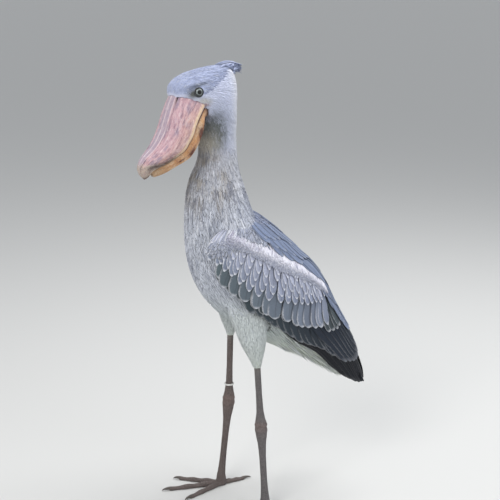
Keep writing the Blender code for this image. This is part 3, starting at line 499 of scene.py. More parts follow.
def scatter(points, faces, spacing, rng, tries=3.0):
    """Places on triangles, no two nearer than the spacing at them."""
    a, b, c = (points[faces[:, i]] for i in range(3))
    areas = np.linalg.norm(np.cross(b - a, c - a), axis=1) / 2
    weight = areas / spacing((a + b + c) / 3) ** 2
    count = int(weight.sum() * tries)
    pick = rng.choice(len(faces), count, p=weight / weight.sum())
    k = np.sqrt(rng.random(count))[:, None]
    m = rng.random(count)[:, None]
    made = a[pick] * (1 - k) + b[pick] * (k * (1 - m)) + c[pick] * (k * m)
    gaps = spacing(made)
    cell = gaps.max()
    cells = (made // cell).astype(int).tolist()
    taken = {}
    kept = []
    for i, (place, gap) in enumerate(zip(made, gaps)):
        x, y, z = cells[i]
        near = []
        for dx, dy, dz in product((-1, 0, 1), repeat=3):
            near += taken.get((x + dx, y + dy, z + dz), ())
        if near and np.min(((np.array(near) - place) ** 2).sum(axis=1)) < gap * gap:
            continue
        taken.setdefault((x, y, z), []).append(place)
        kept.append(i)
    return made[kept]


def sculpt(mesh, depth=0.0):
    """A brow ridge over each eye and a hollow round it; then the whole drawn in by a depth."""
    points = read(mesh, "co")
    forward, side, z = in_head(points)
    ridge = spot(forward, z - 0.22 * (0.104 - forward), (0.102, 1.1455), (0.024, 0.0060))
    hollow = spot(forward, z, (0.106, 1.124), (0.020, 0.013))
    cheek = spot(forward, z, (0.030, 1.080), (0.035, 0.040))
    grow = 0.0042 * ridge - 0.0012 * hollow + 0.0010 * cheek
    grow = smooth(0.02, 0.035, np.abs(side)) * grow - depth
    return move(mesh, points + read(mesh, "normal") * grow[:, None])


def body_unwrap(points):
    """Places on an unwrap of the body: its angle round the middle line, and how far along."""
    line = body_point(0.0, *np.array(SPINE).T)
    steps = np.linalg.norm(np.diff(line, axis=0), axis=1)
    run = np.concatenate([[0], np.cumsum(steps)])
    best = np.full(len(points), 1e9)
    place = np.zeros((len(points), 2))
    for i in range(len(line) - 1):
        way = (line[i + 1] - line[i]) / steps[i]
        front = np.cross(way, (1.0, 0.0, 0.0))
        k = np.clip((points - line[i]) @ way, 0, steps[i])
        off = points - line[i] - k[:, None] * way
        apart = np.linalg.norm(off, axis=1)
        near = apart < best
        angle = np.arctan2(off[:, 0], -(off @ front))
        best[near] = apart[near]
        place[near, 0] = 0.5 + angle[near] / (2 * math.pi) * 0.96
        place[near, 1] = (run[i] + k[near]) / run[-1] * 0.96 + 0.02
    return place


def thigh_unwrap(points):
    """Places on an unwrap of one thigh: its angle, and its height."""
    low = points.min(axis=0)
    high = points.max(axis=0)
    x, y, z = (points - (low + high) / 2).T
    share = (points[:, 2] - low[2]) / (high - low)[2]
    return np.stack([0.5 + np.arctan2(x, y) / (2 * math.pi) * 0.96, 0.02 + share * 0.96], axis=-1)


# Feathers.

def dense_form(form, steps):
    """The same outline with more places along it, closer together at the tip."""
    ks = np.linspace(0, 1, steps) ** 0.85 * form[-1][0]
    return np.stack([ks, np.interp(ks, *np.array(form).T)], axis=-1)


def feather_mesh(batches):
    """One mesh of closed vanes. A batch holds their points by vane, row and place round, their
    ends, the rows' places along, the section, and each vane's bake place, colour, fringe, pick."""
    made = []
    base = 0
    for points, ends, ks, section, places, *looks in batches:
        count, rows, around = points.shape[:3]
        per = rows * around + 1
        k = np.arange(around)
        end = (rows - 1) * around
        fan = np.stack([end + k, end + (k + 1) % around, np.full(around, per - 1)], axis=-1)
        starts = base + np.arange(count)[:, None, None] * per
        u = np.append(np.tile(section[:, 0], rows), 0.0)
        v = np.append(np.repeat(ks, around), 1.0)
        local = np.stack([u * 0.5 + 0.5, v], axis=-1)
        body = np.concatenate([points.reshape(count, -1, 3), ends[:, None]], axis=1)
        groups = (grid_faces(rows, around), fan, k[None, ::-1])
        made.append([
            body.reshape(-1, 3),
            *[(g + starts).reshape(-1, g.shape[1]) for g in groups],
            np.tile(local, (count, 1)),
            (places[:, None] + (local - 0.5) * BAKE_PATCH).reshape(-1, 2),
            *[np.repeat(look, per, axis=0) for look in looks],
        ])
        base += count * per
    points, *faces, local, bake, tone, fringe, pick = map(np.concatenate, zip(*made))
    mesh = fast_mesh(points, turned_out(points, faces))
    set_uv(mesh, "Vane", local)
    set_uv(mesh, "OFBake", bake)
    mesh.uv_layers["OFBake"].active_render = True
    set_colour(mesh, tone)
    set_value(mesh, "fringe", fringe)
    set_value(mesh, "pick", pick)
    return mesh


def vane_mesh(centres, sides, normals, widths, thick, form, section, colours, places, fringes,
              rng):
    """One mesh of vanes: centres, sides and normals hold a row for each place along them."""
    count, rows = centres.shape[:2]
    section = np.array(section)
    form = np.array(form)
    picks = rng.random(count)
    widths, thick, fringes = (np.broadcast_to(x, count) for x in (widths, thick, fringes))
    reach = widths[:, None] * form[:, 1] * (1 + rng.uniform(-0.07, 0.07, (count, rows)))
    across = reach[:, :, None, None] * section[:, :1] * sides[:, :, None]
    slim = np.minimum(1.0, form[:, 1] * 1.4)[:, None, None]
    lift = thick[:, None, None, None] * section[:, 1:] * normals[:, :, None]
    points = centres[:, :, None] + across + lift * slim
    left = (1 - form[-1, 0]) / (form[-1, 0] - form[-2, 0])
    ends = centres[:, -1] + (centres[:, -1] - centres[:, -2]) * left
    colours = np.broadcast_to(colours, (count, 3))
    return feather_mesh([(points, ends, form[:, 0], section, places, colours, fringes, picks)])


def lay_coat(name, surface, roots, lengths, widths, heights, colours, fringes, flow, material,
             rng, form=BODY_FORM, unwrap=body_unwrap, sway=0.13, depth=-0.0022, thick=None,
             vary=True):
    """A piece of small feathers that follow a surface, from a root depth to a tip height."""
    count = len(roots)
    if vary:
        lengths = lengths * rng.uniform(0.78, 1.2, count)
    if thick is None:
        thick = lengths * 0.006 + 0.0002
    high = rng.uniform(*heights, count)
    here, normal = surface.nearest(roots)
    way = flow(roots)
    way = unit(way - normal * (way * normal).sum(axis=1)[:, None])
    turn = rng.normal(0, sway, count)
    bend = rng.normal(0, sway * 0.8, count)
    way = unit(way + np.cross(normal, way) * turn[:, None])
    rows = []
    last = 0.0
    for k, share in form:
        here, normal = surface.nearest(here + way * (lengths * (k - last))[:, None])
        way = way * 0.7 + flow(here) * 0.3
        way = way - normal * (way * normal).sum(axis=1)[:, None]
        side = unit(np.cross(normal, way))
        way = unit(unit(way) + side * (bend * (k - last))[:, None])
        height = depth + (high - depth) * k**1.3
        rows.append((here + normal * height[:, None], side, normal))
        last = k
    lines = [np.stack(line, axis=1) for line in zip(*rows)]
    mesh = vane_mesh(*lines, widths, thick, form, THIN, colours, unwrap(roots), fringes, rng)
    add_piece(name, mesh, material, "feathers_grey")


# Where feathers point and what colour they have.

def body_flow(points):
    """The way that feathers lie on the neck and body."""
    heights, ahead, rise = np.array(FLOW).T
    u, z = in_body(points)
    back = u < np.interp(z, (0.5, 0.95), (-0.15, 0.05))
    forward = np.interp(z, heights, ahead) - 0.25 * back
    return unit(np.stack([np.zeros(len(u)), -forward, np.interp(z, heights, rise)], axis=-1))


def head_flow(points):
    """The way that feathers lie on the head: back from the bill, then down the cheeks."""
    forward, side, z = in_head(points)
    down = 0.25 + 0.9 * smooth(1.13, 1.05, z) + 0.7 * smooth(-0.01, -0.045, forward)
    rise = 0.7 * smooth(0.10, 0.145, forward) * smooth(1.12, 1.14, z)
    out = (np.sign(side) * 0.15)[:, None]
    return unit(-HEAD_AHEAD + HEAD_LEFT * out + UP * (rise - down)[:, None])


def down_flow(points):
    return np.tile(unit(np.array([0.0, 0.18, -1.0])), (len(points), 1))


def head_colour(points):
    """Crown patch, pale cheek and nape, mottled lower cheek and throat; painted shadow as a dark
    line behind the eye, and painted shade before the eye and over it.
    """
    forward, side, z = in_head(points)
    cloud = wobble(points, 0.010, 1)
    fine = wobble(points * (1, 1, 0.5), 0.004, 2)
    streak = wobble(np.stack([forward * 0.25, side, z], axis=-1), 0.0045, 3)
    edge = 1.122 + 0.62 * np.clip(0.085 - forward, 0.0, 0.2)
    crown = smooth(-0.004, 0.004, z - edge + 0.002 * cloud) * smooth(-0.030, 0.000, forward)
    # A dark line along the crown's edge behind the eye: painted shadow of the fold there.
    line = smooth(0.006, 0.0, np.abs(z - edge - 0.002)) * smooth(-0.02, 0.02, forward)
    dark = 0.80 * crown * smooth(-0.15, 0.5, streak) + 0.7 * line * smooth(0.10, 0.085, forward)
    mottle = spot(forward, z, (0.048, 1.030), (0.036, 0.042))
    mottle = mottle * (0.5 + 0.5 * smooth(-0.8, 0.3, cloud + fine))
    # A dark patch in front of the eye: painted shade.
    lore = spot(forward, z, (0.116, 1.122), (0.013, 0.011))
    # A dark band over the eye: painted shade under the brow ridge.
    brow = spot(forward, z - 0.25 * (0.106 - forward), (0.104, 1.142), (0.026, 0.005))
    bare = spot(forward, z, (0.088, 1.104), (0.018, 0.008))
    corner = spot(forward, z, (0.081, 1.093), (0.005, 0.005))
    throat = spot(forward, z, (0.066, 1.000), (0.030, 0.030))
    colour = layered(
        HUE.cheek,
        (HUE.nape, smooth(0.02, -0.035, forward)),
        (HUE.crown, crown),
        (HUE.crown_dark, np.clip(dark, 0, 1)),
        (HUE.cheek_dark, np.clip(mottle * 1.4, 0, 0.94)),
        (HUE.lore, np.clip(lore * 1.2, 0, 0.95)),
        (HUE.brow, np.clip(brow, 0, 0.9)),
        (HUE.bare, np.clip(bare, 0, 0.9)),
        (HUE.gape, np.clip(corner * 1.1, 0, 0.85)),
        (HUE.throat, np.clip(throat, 0, 0.8)),
        (HUE.crown_pale, 0.6 * smooth(0.2, 0.6, streak) * crown * smooth(0.02, 0.06, forward)),
    )
    return colour * (1 + 0.06 * fine)[:, None]


def body_colour(points):
    """Grey neck with brown-grey mottles, pale breast and belly, slate back."""
    u, z = in_body(points)
    cloud = wobble(points, 0.030, 4)
    fine = wobble(points * (1, 1, 0.4), 0.007, 5)
    lines = wobble(points * (1, 1, 0.22), 0.0075, 25)
    front = smooth(0.03, 0.10, u)
    upper = smooth(0.50, 0.70, z)
    mottle = front * smooth(0.80, 0.90, z) * smooth(-0.05, 0.5, cloud + 0.7 * fine)
    edge = np.interp(z, (0.40, 0.50, 0.60, 0.76, 0.90), (-0.31, -0.24, -0.16, -0.02, 0.035))
    colour = layered(
        HUE.breast,
        (HUE.neck, smooth(0.80, 0.95, z)),
        (HUE.belly, smooth(0.66, 0.52, z)),
        (HUE.vent, smooth(0.52, 0.42, z)),
        (HUE.neck_dark, 0.88 * mottle),
        (HUE.neck_warm, 0.85 * front * smooth(0.84, 0.92, z) * smooth(-0.5, 0.3, cloud)),
        (HUE.nape, 0.7 * smooth(0.045, 0.005, u) * smooth(0.86, 0.95, z)),
        (HUE.back, 0.9 * smooth(0.03, -0.02, u - edge) * smooth(0.91, 0.80, z)),
        (HUE.breast_dark, 0.66 * upper * smooth(0.0, 0.6, lines + 0.5 * cloud)),
        (HUE.fringe, 0.32 * upper * smooth(0.0, 0.6, 0.4 * cloud - lines)),
    )
    return colour * (1 + 0.05 * cloud)[:, None]


def plumage_colour(points):
    """The markings of the whole bird, which the skin and the coat share."""
    share = smooth(0.955, 1.010, points[:, 2] + 0.006 * wobble(points, 0.02, 6))
    return layered(body_colour(points), (head_colour(points), share))


# Materials.

class Wire:
    """A value in a material. Sums, differences and products of wires add math nodes."""

    def __init__(self, graph, socket):
        self.graph = graph
        self.socket = socket

    def __add__(self, other):
        return self.graph.math("ADD", self, other)

    def __sub__(self, other):
        return self.graph.math("SUBTRACT", self, other)

    def __rsub__(self, other):
        return self.graph.math("SUBTRACT", other, self)

    def __mul__(self, other):
        return self.graph.math("MULTIPLY", self, other)


class Graph:
    """A new material, and short ways to add nodes to it."""

    def __init__(self, name):
        self.material = bpy.data.materials.new(name)
        self.material.use_nodes = True
        self.nodes = self.material.node_tree.nodes
        self.shader = self.nodes["Principled BSDF"]

    def put(self, value, socket):
        if isinstance(value, Wire):
            self.material.node_tree.links.new(value.socket, socket)
        else:
            socket.default_value = (*value, 1.0) if socket.type == "RGBA" else value

    def add(self, kind, inputs, output=0, **settings):
        node = self.nodes.new("ShaderNode" + kind)
        for key, value in settings.items():
            setattr(node, key, value)
        for key, value in inputs.items():
            self.put(value, node.inputs[key])
        return Wire(self, node.outputs[output])

    def math(self, operation, a, b=0.0):
        return self.add("Math", {0: a, 1: b}, operation=operation)

    def step(self, low, high, value):
        return self.add("MapRange", {"Value": value, "From Min": low, "From Max": high},
                        interpolation_type="SMOOTHSTEP")

    def blend(self, share, a, b, kind="MIX"):
        return self.add("Mix", {6: a, 7: b, 0: share}, 2, data_type="RGBA", blend_type=kind)

    def noise(self, scale, detail, place=None, roughness=0.55):
        inputs = {"Scale": scale, "Detail": detail, "Roughness": roughness}
        if place:
            inputs["Vector"] = place
        return self.add("TexNoise", inputs)

    def tone(self, name="tone", output="Color"):
        return self.add("Attribute", {}, output, attribute_name=name)

    def uv(self, name):
        """Both parts of the place in a UV map."""
        first = self.add("SeparateXYZ", {0: self.add("UVMap", {}, uv_map=name)})
        return first, Wire(self, first.socket.node.outputs[1])

    def scaled(self, scale, place=None):
        """A place, or the object's own, stretched each way."""
        place = place or self.add("TexCoord", {}, "Object")
        return self.add("Mapping", {"Vector": place, "Scale": scale})

    def finish(self, colour, rough, height, strength, distance, **plain):
        """Joins colour, roughness and bump to the shader and sets its plain numbers."""
        bump = self.add("Bump", {"Height": height, "Strength": strength, "Distance": distance})
        inputs = {"Base Color": colour, "Roughness": rough, "Normal": bump}
        for key, value in (inputs | {k.replace("_", " "): v for k, v in plain.items()}).items():
            self.put(value, self.shader.inputs[key])
        return self.material


def feather_material(name, barbs, shaft_dark, roughness, vary, sheen, gloss):
    """Vane colour with a shaft line, slanting barbs, a pale fringe and some wear."""
    g = Graph(name)
    u, along = g.uv("Vane")
    across = g.math("ABSOLUTE", u * 2.0 - 1.0)
    lines = g.math("SINE", (across * -0.22 + along) * barbs)
    split = g.noise(60.0, 2.0)
    wear = (split - 0.5) * 0.35
    shaft = 1.0 - g.step(0.03, 0.10, across)
    edge = g.math("MAXIMUM", g.step(0.72, 1.00, across + wear), g.step(0.87, 0.985, along))
    edge = edge * g.step(0.30, 0.70, along) * g.tone("fringe", "Fac")
    shade = g.tone("pick", "Fac") * vary + (1.0 - vary / 2)
    shade = shade + across * across * 0.16 * g.step(0.3, 0.9, along) + lines * 0.045 + wear
    grey = g.add("CombineXYZ", {0: shade, 1: shade, 2: shade})
    colour = g.blend(1.0, g.tone(), grey, "MULTIPLY")
    # Darker towards the root, where the vane lies under the feathers over it: painted shade.
    colour = g.blend((1.0 - g.step(0.0, 0.45, along)) * 0.12, colour, (0.03, 0.03, 0.03))
    colour = g.blend(shaft * shaft_dark, colour, (0.03, 0.03, 0.04))
    colour = g.blend(edge, colour, HUE.fringe)
    return g.finish(colour, g.step(-0.5, 1.5, split + (roughness - 0.5)),
                    lines * 0.5 + shaft * 1.2, 0.30, 0.0005, Sheen_Weight=sheen,
                    Sheen_Roughness=0.5, Specular_IOR_Level=gloss)


def skin_material():
    """Soft down that shows between the feathers."""
    g = Graph("down")
    streaks = g.noise(420.0, 4.0, g.scaled((1.0, 1.0, 0.35)))
    colour = g.blend(streaks * 0.25, g.tone(), (0.10, 0.10, 0.10))
    return g.finish(colour, 0.9, streaks, 0.6, 0.002, Sheen_Weight=0.3)


def horn_material():
    """Bill horn: painted colours, long fine streaks, scratches and a soft gloss."""
    g = Graph("bill_horn")
    place = g.add("UVMap", {}, uv_map="Horn")
    streaks = g.noise(1.0, 6.0, g.scaled((7.0, 30.0, 1.0), place), 0.65)
    spots = g.noise(1.0, 5.0, g.scaled((34.0, 58.0, 1.0), place), 0.6)
    cloud = g.noise(140.0, 4.0)
    tone = g.tone()
    dark = g.blend(1.0, tone, (0.60, 0.50, 0.56), "MULTIPLY")
    colour = g.blend(g.step(0.50, 0.70, streaks) * 0.65, tone, dark)
    deeper = g.blend(1.0, colour, (0.52, 0.42, 0.50), "MULTIPLY")
    patchy = g.step(0.52, 0.68, spots) * g.step(0.35, 0.60, cloud)
    colour = g.blend(patchy * 0.90, colour, deeper)
    light = g.blend(0.5, tone, (0.80, 0.74, 0.72))
    colour = g.blend(g.step(0.48, 0.34, spots) * 0.60, colour, light)
    return g.finish(colour, g.step(-0.6, 1.4, cloud * 0.6 + 0.5),
                    streaks + g.noise(900.0, 3.0) * 0.25, 0.40, 0.0010, Specular_IOR_Level=0.45,
                    Subsurface_Weight=0.08, Subsurface_Radius=(0.006, 0.003, 0.002))


def leg_material():
    """Leg skin: painted colours, small scales with painted shade in the cracks, and dusty patches.
    """
    g = Graph("leg_skin")
    cells = g.add("TexVoronoi", {"Vector": g.scaled((1.0, 1.0, 0.8)), "Scale": 420.0}, "Distance",
                  feature="DISTANCE_TO_EDGE")
    crack = 1.0 - g.step(0.02, 0.16, cells)
    cloud = g.noise(70.0, 4.0)
    tone = g.tone()
    # The cracks between the scales darkened: painted shade.
    deep = g.blend(1.0, tone, (0.45, 0.42, 0.42), "MULTIPLY")
    colour = g.blend(crack * 0.6, tone, deep)
    dusty = g.blend(0.35, colour, (0.34, 0.33, 0.32))
    colour = g.blend(g.step(0.40, 0.70, cloud), colour, dusty)
    return g.finish(colour, g.step(-1.0, 1.4, cloud + crack), cloud * 0.3 - crack, 0.55, 0.0007)


def claw_material():
    g = Graph("claw")
    streaks = g.noise(300.0, 4.0, g.scaled((1.0, 1.0, 3.0)))
    colour = g.blend(streaks, (0.035, 0.030, 0.028), (0.13, 0.11, 0.095))
    return g.finish(colour, g.step(-0.8, 1.6, streaks), streaks, 0.3, 0.0005)


def eye_material():
    """Black pupil, pale streaked iris and a dark rim, under a wet gloss."""
    g = Graph("eye")
    turn, reach = g.uv("Eye")
    rays = g.noise(1.0, 4.0, g.add("CombineXYZ", {0: turn * 70.0, 1: reach * 6.0}))
    colour = g.blend(rays, (0.10, 0.12, 0.12), (0.27, 0.30, 0.30))
    colour = g.blend((1.0 - g.step(0.43, 0.54, reach)) * 0.55, colour, (0.07, 0.08, 0.08))
    colour = g.blend(g.step(0.68, 0.77, reach), colour, (0.012, 0.012, 0.014))
    colour = g.blend(1.0 - g.step(0.415, 0.440, reach), colour, (0.002, 0.002, 0.002))
    return g.finish(colour, 0.35, rays, 0.15, 0.0003, Specular_IOR_Level=0.25, Coat_Weight=0.35,
                    Coat_Roughness=0.02)


def lid_material():
    """Bare wrinkled skin round the eye."""
    g = Graph("lid_skin")
    creases = g.add("TexVoronoi", {"Scale": 700.0}, "Distance", feature="DISTANCE_TO_EDGE")
    cloud = g.noise(160.0, 3.0)
    colour = g.blend(cloud * 0.5, g.tone(), (0.05, 0.055, 0.05))
    return g.finish(colour, g.step(-0.6, 1.4, cloud), g.step(0.0, 0.2, creases) + cloud, 0.5,
                    0.0005)


def ring_material():
    """Pale worn metal band."""
    g = Graph("ring_metal")
    wear = g.noise(500.0, 5.0, g.scaled((1.0, 1.0, 6.0)))
    dirt = g.step(0.5, 0.8, g.noise(120.0, 3.0))
    colour = g.blend(dirt, (0.72, 0.72, 0.70), (0.30, 0.28, 0.25))
    return g.finish(colour, g.step(-0.4, 1.2, wear), wear, 0.3, 0.0003, Metallic=0.6)


def floor_material():
    g = Graph("floor")
    g.put(g.blend(g.noise(3.0, 4.0), (0.56, 0.56, 0.55), (0.62, 0.62, 0.61)),
          g.shader.inputs["Base Color"])
    g.put(0.85, g.shader.inputs["Roughness"])
    return g.material


# The stage.

def make_stage():
    """Floor, lights and camera."""
    corners = np.array([(-1, -1, 0), (1, -1, 0), (1, 1, 0), (-1, 1, 0)]) * FLOOR_HALF
    mesh = bpy.data.meshes.new("floor")
    mesh.from_pydata(corners.tolist(), [], [(0, 1, 2, 3)])
    mesh.materials.append(floor_material())
    linked("floor", mesh)

    scene = bpy.context.scene
    world = bpy.data.worlds.new("studio")
    world.use_nodes = True
    sky = world.node_tree.nodes["Background"]
    sky.inputs[0].default_value = (0.93, 0.96, 1.0, 1.0)
    sky.inputs[1].default_value = SKY_STRENGTH
    scene.world = world
    scene.view_settings.view_transform = "Standard"

    for name, place, size, power, colour in LAMPS:
        light = bpy.data.lights.new(name, "AREA")
        light.size = size
        light.energy = power
        light.color = colour
        lamp = linked(name, light)
        lamp.location = place
        aim = Vector((0.0, 0.0, 0.7)) - Vector(place)
        lamp.rotation_euler = aim.to_track_quat("-Z", "Y").to_euler()

    camera = bpy.data.cameras.new("camera")
    camera.lens = CAMERA_LENS
    camera.sensor_width = 36.0
    eye = linked("camera", camera)
    eye.location = CAMERA_PLACE
    eye.rotation_euler = (math.radians(90.0 - CAMERA_TILT), 0.0, math.radians(CAMERA_TURN))
    scene.camera = eye


# Skin and body coat.

def make_skin(material):
    """The flesh as one surface, drawn in by the depth of the coat."""
    mesh = merged(FLESH, SKIN_VOXEL, 6)
    depths = (0.0020, 0.0024, 0.0018, 0.0010)
    sculpt(mesh, np.interp(read(mesh, "co")[:, 2], (0.45, 0.80, 0.97, 1.07), depths))
    set_colour(mesh, plumage_colour(read(mesh, "co")))
    add_piece("skin", mesh, material, "feathers_grey", *FLESH)


def node_tree(*nodes):
    mesh = joined([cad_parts[node].data for node in nodes])
    return BVHTree.FromPolygons([v.co for v in mesh.vertices], [p.vertices for p in mesh.polygons])


def uncovered(places, normals, tree):
    """Whether nothing of the tree lies over each place."""
    free = np.zeros(len(places), bool)
    for i, (place, normal) in enumerate(zip(places, normals)):
        start = Vector(place) - Vector(normal) * 0.004
        free[i] = tree.ray_cast(start, Vector(normal), COVER_REACH)[0] is None
    return free


def outer_roots(hull, spacing, rng, *nodes):
    """Roots on CAD nodes where they lie on the outside of the whole bird, and normals there."""
    found = []
    for node in nodes:
        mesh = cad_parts[node].data
        roots = scatter(read(mesh, "co"), triangles(mesh), spacing, rng)
        near, normal = hull.nearest(roots)
        keep = np.linalg.norm(near - roots, axis=1) < OUTSIDE_GAP
        found.append((roots[keep], normal[keep]))
    return [np.concatenate(part) for part in zip(*found)]


def every(gap):
    """The same spacing everywhere."""
    return lambda points: np.full(len(points), gap)


def by_height(heights, gaps):
    """A spacing that changes with height."""
    return lambda points: np.interp(points[:, 2], heights, gaps)


def make_head_coat(hull, material):
    """Short flat feathers, smallest round the bill and the eyes."""
    rng = np.random.default_rng(3)
    ahead = (-0.04, 0.05, 0.14)
    roots, normal = outer_roots(
        hull, lambda points: np.interp(in_head(points)[0], ahead, (0.0031, 0.0028, 0.0023)), rng,
        "head")
    forward, side, z = in_head(roots)
    apart = np.hypot(forward - EYE_PLACE[0], z - EYE_PLACE[2])
    keep = (apart >= 0.0126) | (np.abs(side) <= 0.02)
    roots = roots[keep]
    lengths = np.interp(forward[keep], ahead, (0.015, 0.011, 0.0060))
    lengths = lengths * np.interp(apart[keep], (0.014, 0.030), (0.45, 1.0))
    lengths = lengths * rng.uniform(0.80, 1.2, len(roots))
    lay_coat("coat_head", hull, roots, lengths, lengths * 0.072 + 0.00075, (-0.0002, 0.0002),
             plumage_colour(roots), 0.05, head_flow, material, rng, sway=0.16, depth=-0.0011,
             thick=0.0002, vary=False)


def make_body_coat(hull, wings, material):
    """Fine overlapping feathers of the neck and body, in parts."""
    rng = np.random.default_rng(4)
    spacing = by_height((0.40, 0.70, 0.92, 1.06), (0.0038, 0.0038, 0.0032, 0.0027))
    for node, edges in (("neck", (0.0, 2.0)), ("torso", (0.0, 0.60, 0.76, 2.0))):
        roots, normal = outer_roots(hull, spacing, rng, node)
        tail_top = (in_body(roots)[0] < -0.225) & (normal[:, 2] > -0.25)
        roots = roots[uncovered(roots, normal, wings) & ~tail_top]
        for n in range(len(edges) - 1):
            part = roots[(roots[:, 2] >= edges[n]) & (roots[:, 2] < edges[n + 1])]
            u, z = in_body(part)
            lengths = np.interp(z, (0.40, 0.60, 0.80, 0.92, 1.06),
                                (0.046, 0.036, 0.040, 0.028, 0.014))
            lengths = lengths * (1 + 0.3 * smooth(-0.08, -0.20, u))
            widths = np.interp(z, (0.50, 0.80, 0.92, 1.06), (0.0030, 0.0029, 0.0025, 0.0018))
            fringes = np.interp(z, (0.5, 0.75, 1.0), (0.15, 0.30, 0.05))
            lay_coat(f"coat_{node}_{n + 1}", hull, part, lengths, widths, (-0.0003, 0.0002),
                     plumage_colour(part), fringes, body_flow, material, rng)


def make_hackles(hull, wings, material):
    """Long narrow plumes that hang over the lower neck, breast and shoulders."""
    rng = np.random.default_rng(5)
    roots, normal = outer_roots(hull, every(0.0105), rng, "neck", "torso")
    keep = (roots[:, 2] > 0.735) & (roots[:, 2] < 0.950) & uncovered(roots, normal, wings)
    roots = roots[keep]
    count = len(roots)
    pale = rng.random(count) < 0.55
    colours = layered(
        plumage_colour(roots),
        (HUE.fringe, rng.uniform(0.1, 0.45, count) * pale),
        (HUE.breast_dark, rng.uniform(0.1, 0.40, count) * ~pale),
    )
    lengths = np.interp(roots[:, 2], (0.735, 0.85, 0.95), (0.060, 0.070, 0.036))
    lay_coat("coat_hackles", hull, roots, lengths, rng.uniform(0.0026, 0.0038, count),
             (0.0002, 0.0010), colours, rng.uniform(0.1, 0.45, count), body_flow, material, rng,
             dense_form(LANCE_FORM, 8))


def make_vent_plumes(hull, wings, material):
    """Long loose plumes under the rear of the body."""
    rng = np.random.default_rng(7)
    roots, normal = outer_roots(hull, every(0.0080), rng, "torso", "tail")
    u, z = in_body(roots)
    keep = (z < 0.58) & (u < -0.07) & (u > -0.235) & (normal[:, 2] < -0.15)
    keep &= np.abs(roots[:, 0] + CENTRE_X) < np.interp(u, (-0.25, -0.12), (0.016, 0.080))
    roots = roots[keep & uncovered(roots, normal, wings)]
    count = len(roots)
    colours = layered(
        mix(plumage_colour(roots), HUE.vent, 0.5),
        (HUE.fringe, rng.uniform(0.0, 0.5, count)),
        (HUE.breast_dark, rng.random(count) ** 3 * 0.5),
    )
    lay_coat("coat_vent", hull, roots, np.full(count, 0.060), rng.uniform(0.0020, 0.0034, count),
             (0.0010, 0.0100), colours, rng.uniform(0.0, 0.3, count), body_flow, material, rng,
             dense_form(LANCE_FORM, 8), sway=0.20)


def make_thigh_coats(hull, material):
    rng = np.random.default_rng(6)
    for side, way in SIDES:
        roots, normal = outer_roots(hull, by_height((0.42, 0.56), (0.0025, 0.0034)), rng,
                                    "thigh_" + side)
        z = roots[:, 2] - roots[:, 2].min()
        lengths = np.interp(z, (0.0, 0.03, 0.15), (0.008, 0.017, 0.032))
        colours = layered(
            mix(body_colour(roots), HUE.thigh, 0.7),
            (HUE.breast_dark, 0.35 * smooth(0.2, 0.6, wobble(roots, 0.006, 9))),
        )
        lay_coat("coat_thigh_" + side, hull, roots, lengths, lengths * 0.045 + 0.0008,
                 (-0.0003, 0.0001), colours, 0.05, down_flow, material, rng, unwrap=thigh_unwrap)


# Wings.

def wing_surface(s, t):
    """Points of the left folded wing: s from shoulder to tip, t from back to lower edge."""
    row = rows_at(WING, s * (len(WING) - 1))
    arc = np.radians(row[..., 5])
    share = (1 - np.cos(arc * t)) / (1 - np.cos(arc))
    u = mix(row[..., 0], row[..., 2], share)
    z = mix(row[..., 1], row[..., 3], share)
    return np.stack([row[..., 4] * np.sin(arc * t), -u, z], axis=-1)


def wing_frame(s, t, step=0.004):
    """Places on the wing, the ways that s and t run there, and the normals."""
    along = (wing_surface(s + step, t) - wing_surface(s - step, t)) / (2 * step)
    across = (wing_surface(s, t + step) - wing_surface(s, t - step)) / (2 * step)
    return wing_surface(s, t), along, across, unit(np.cross(across, along))


def on_side(points, way):
    """Points of the left wing moved to their place in the frame, mirrored for way -1."""
    return points * (way, 1.0, 1.0) - np.array([CENTRE_X, CENTRE_Y, 0.0])


def wing_bake(roots):
    """Places of the wing's feathers on an unwrap by s and t."""
    return np.clip(roots, 0, 1) * 0.94 + 0.03


def run_between(roots, tips, ks):
    """Places s and t on the lines from roots to tips."""
    return [roots[:, None, i] + (tips - roots)[:, None, i] * ks for i in (0, 1)]


@dataclass
class Tier:
    """A row of wing feathers: where tips lie, how the first and last root are set back, sizes
    and heights over the wing, then the look. Colours run from the first feather to the last."""
    tips: tuple
    back: tuple
    half_width: float
    heights: tuple
    count: int
    form: tuple
    colour: np.ndarray
    end_colour: np.ndarray
    fringe: float
    tilt: float
    jitter: float
    steps: int
    stagger: float = 0.0


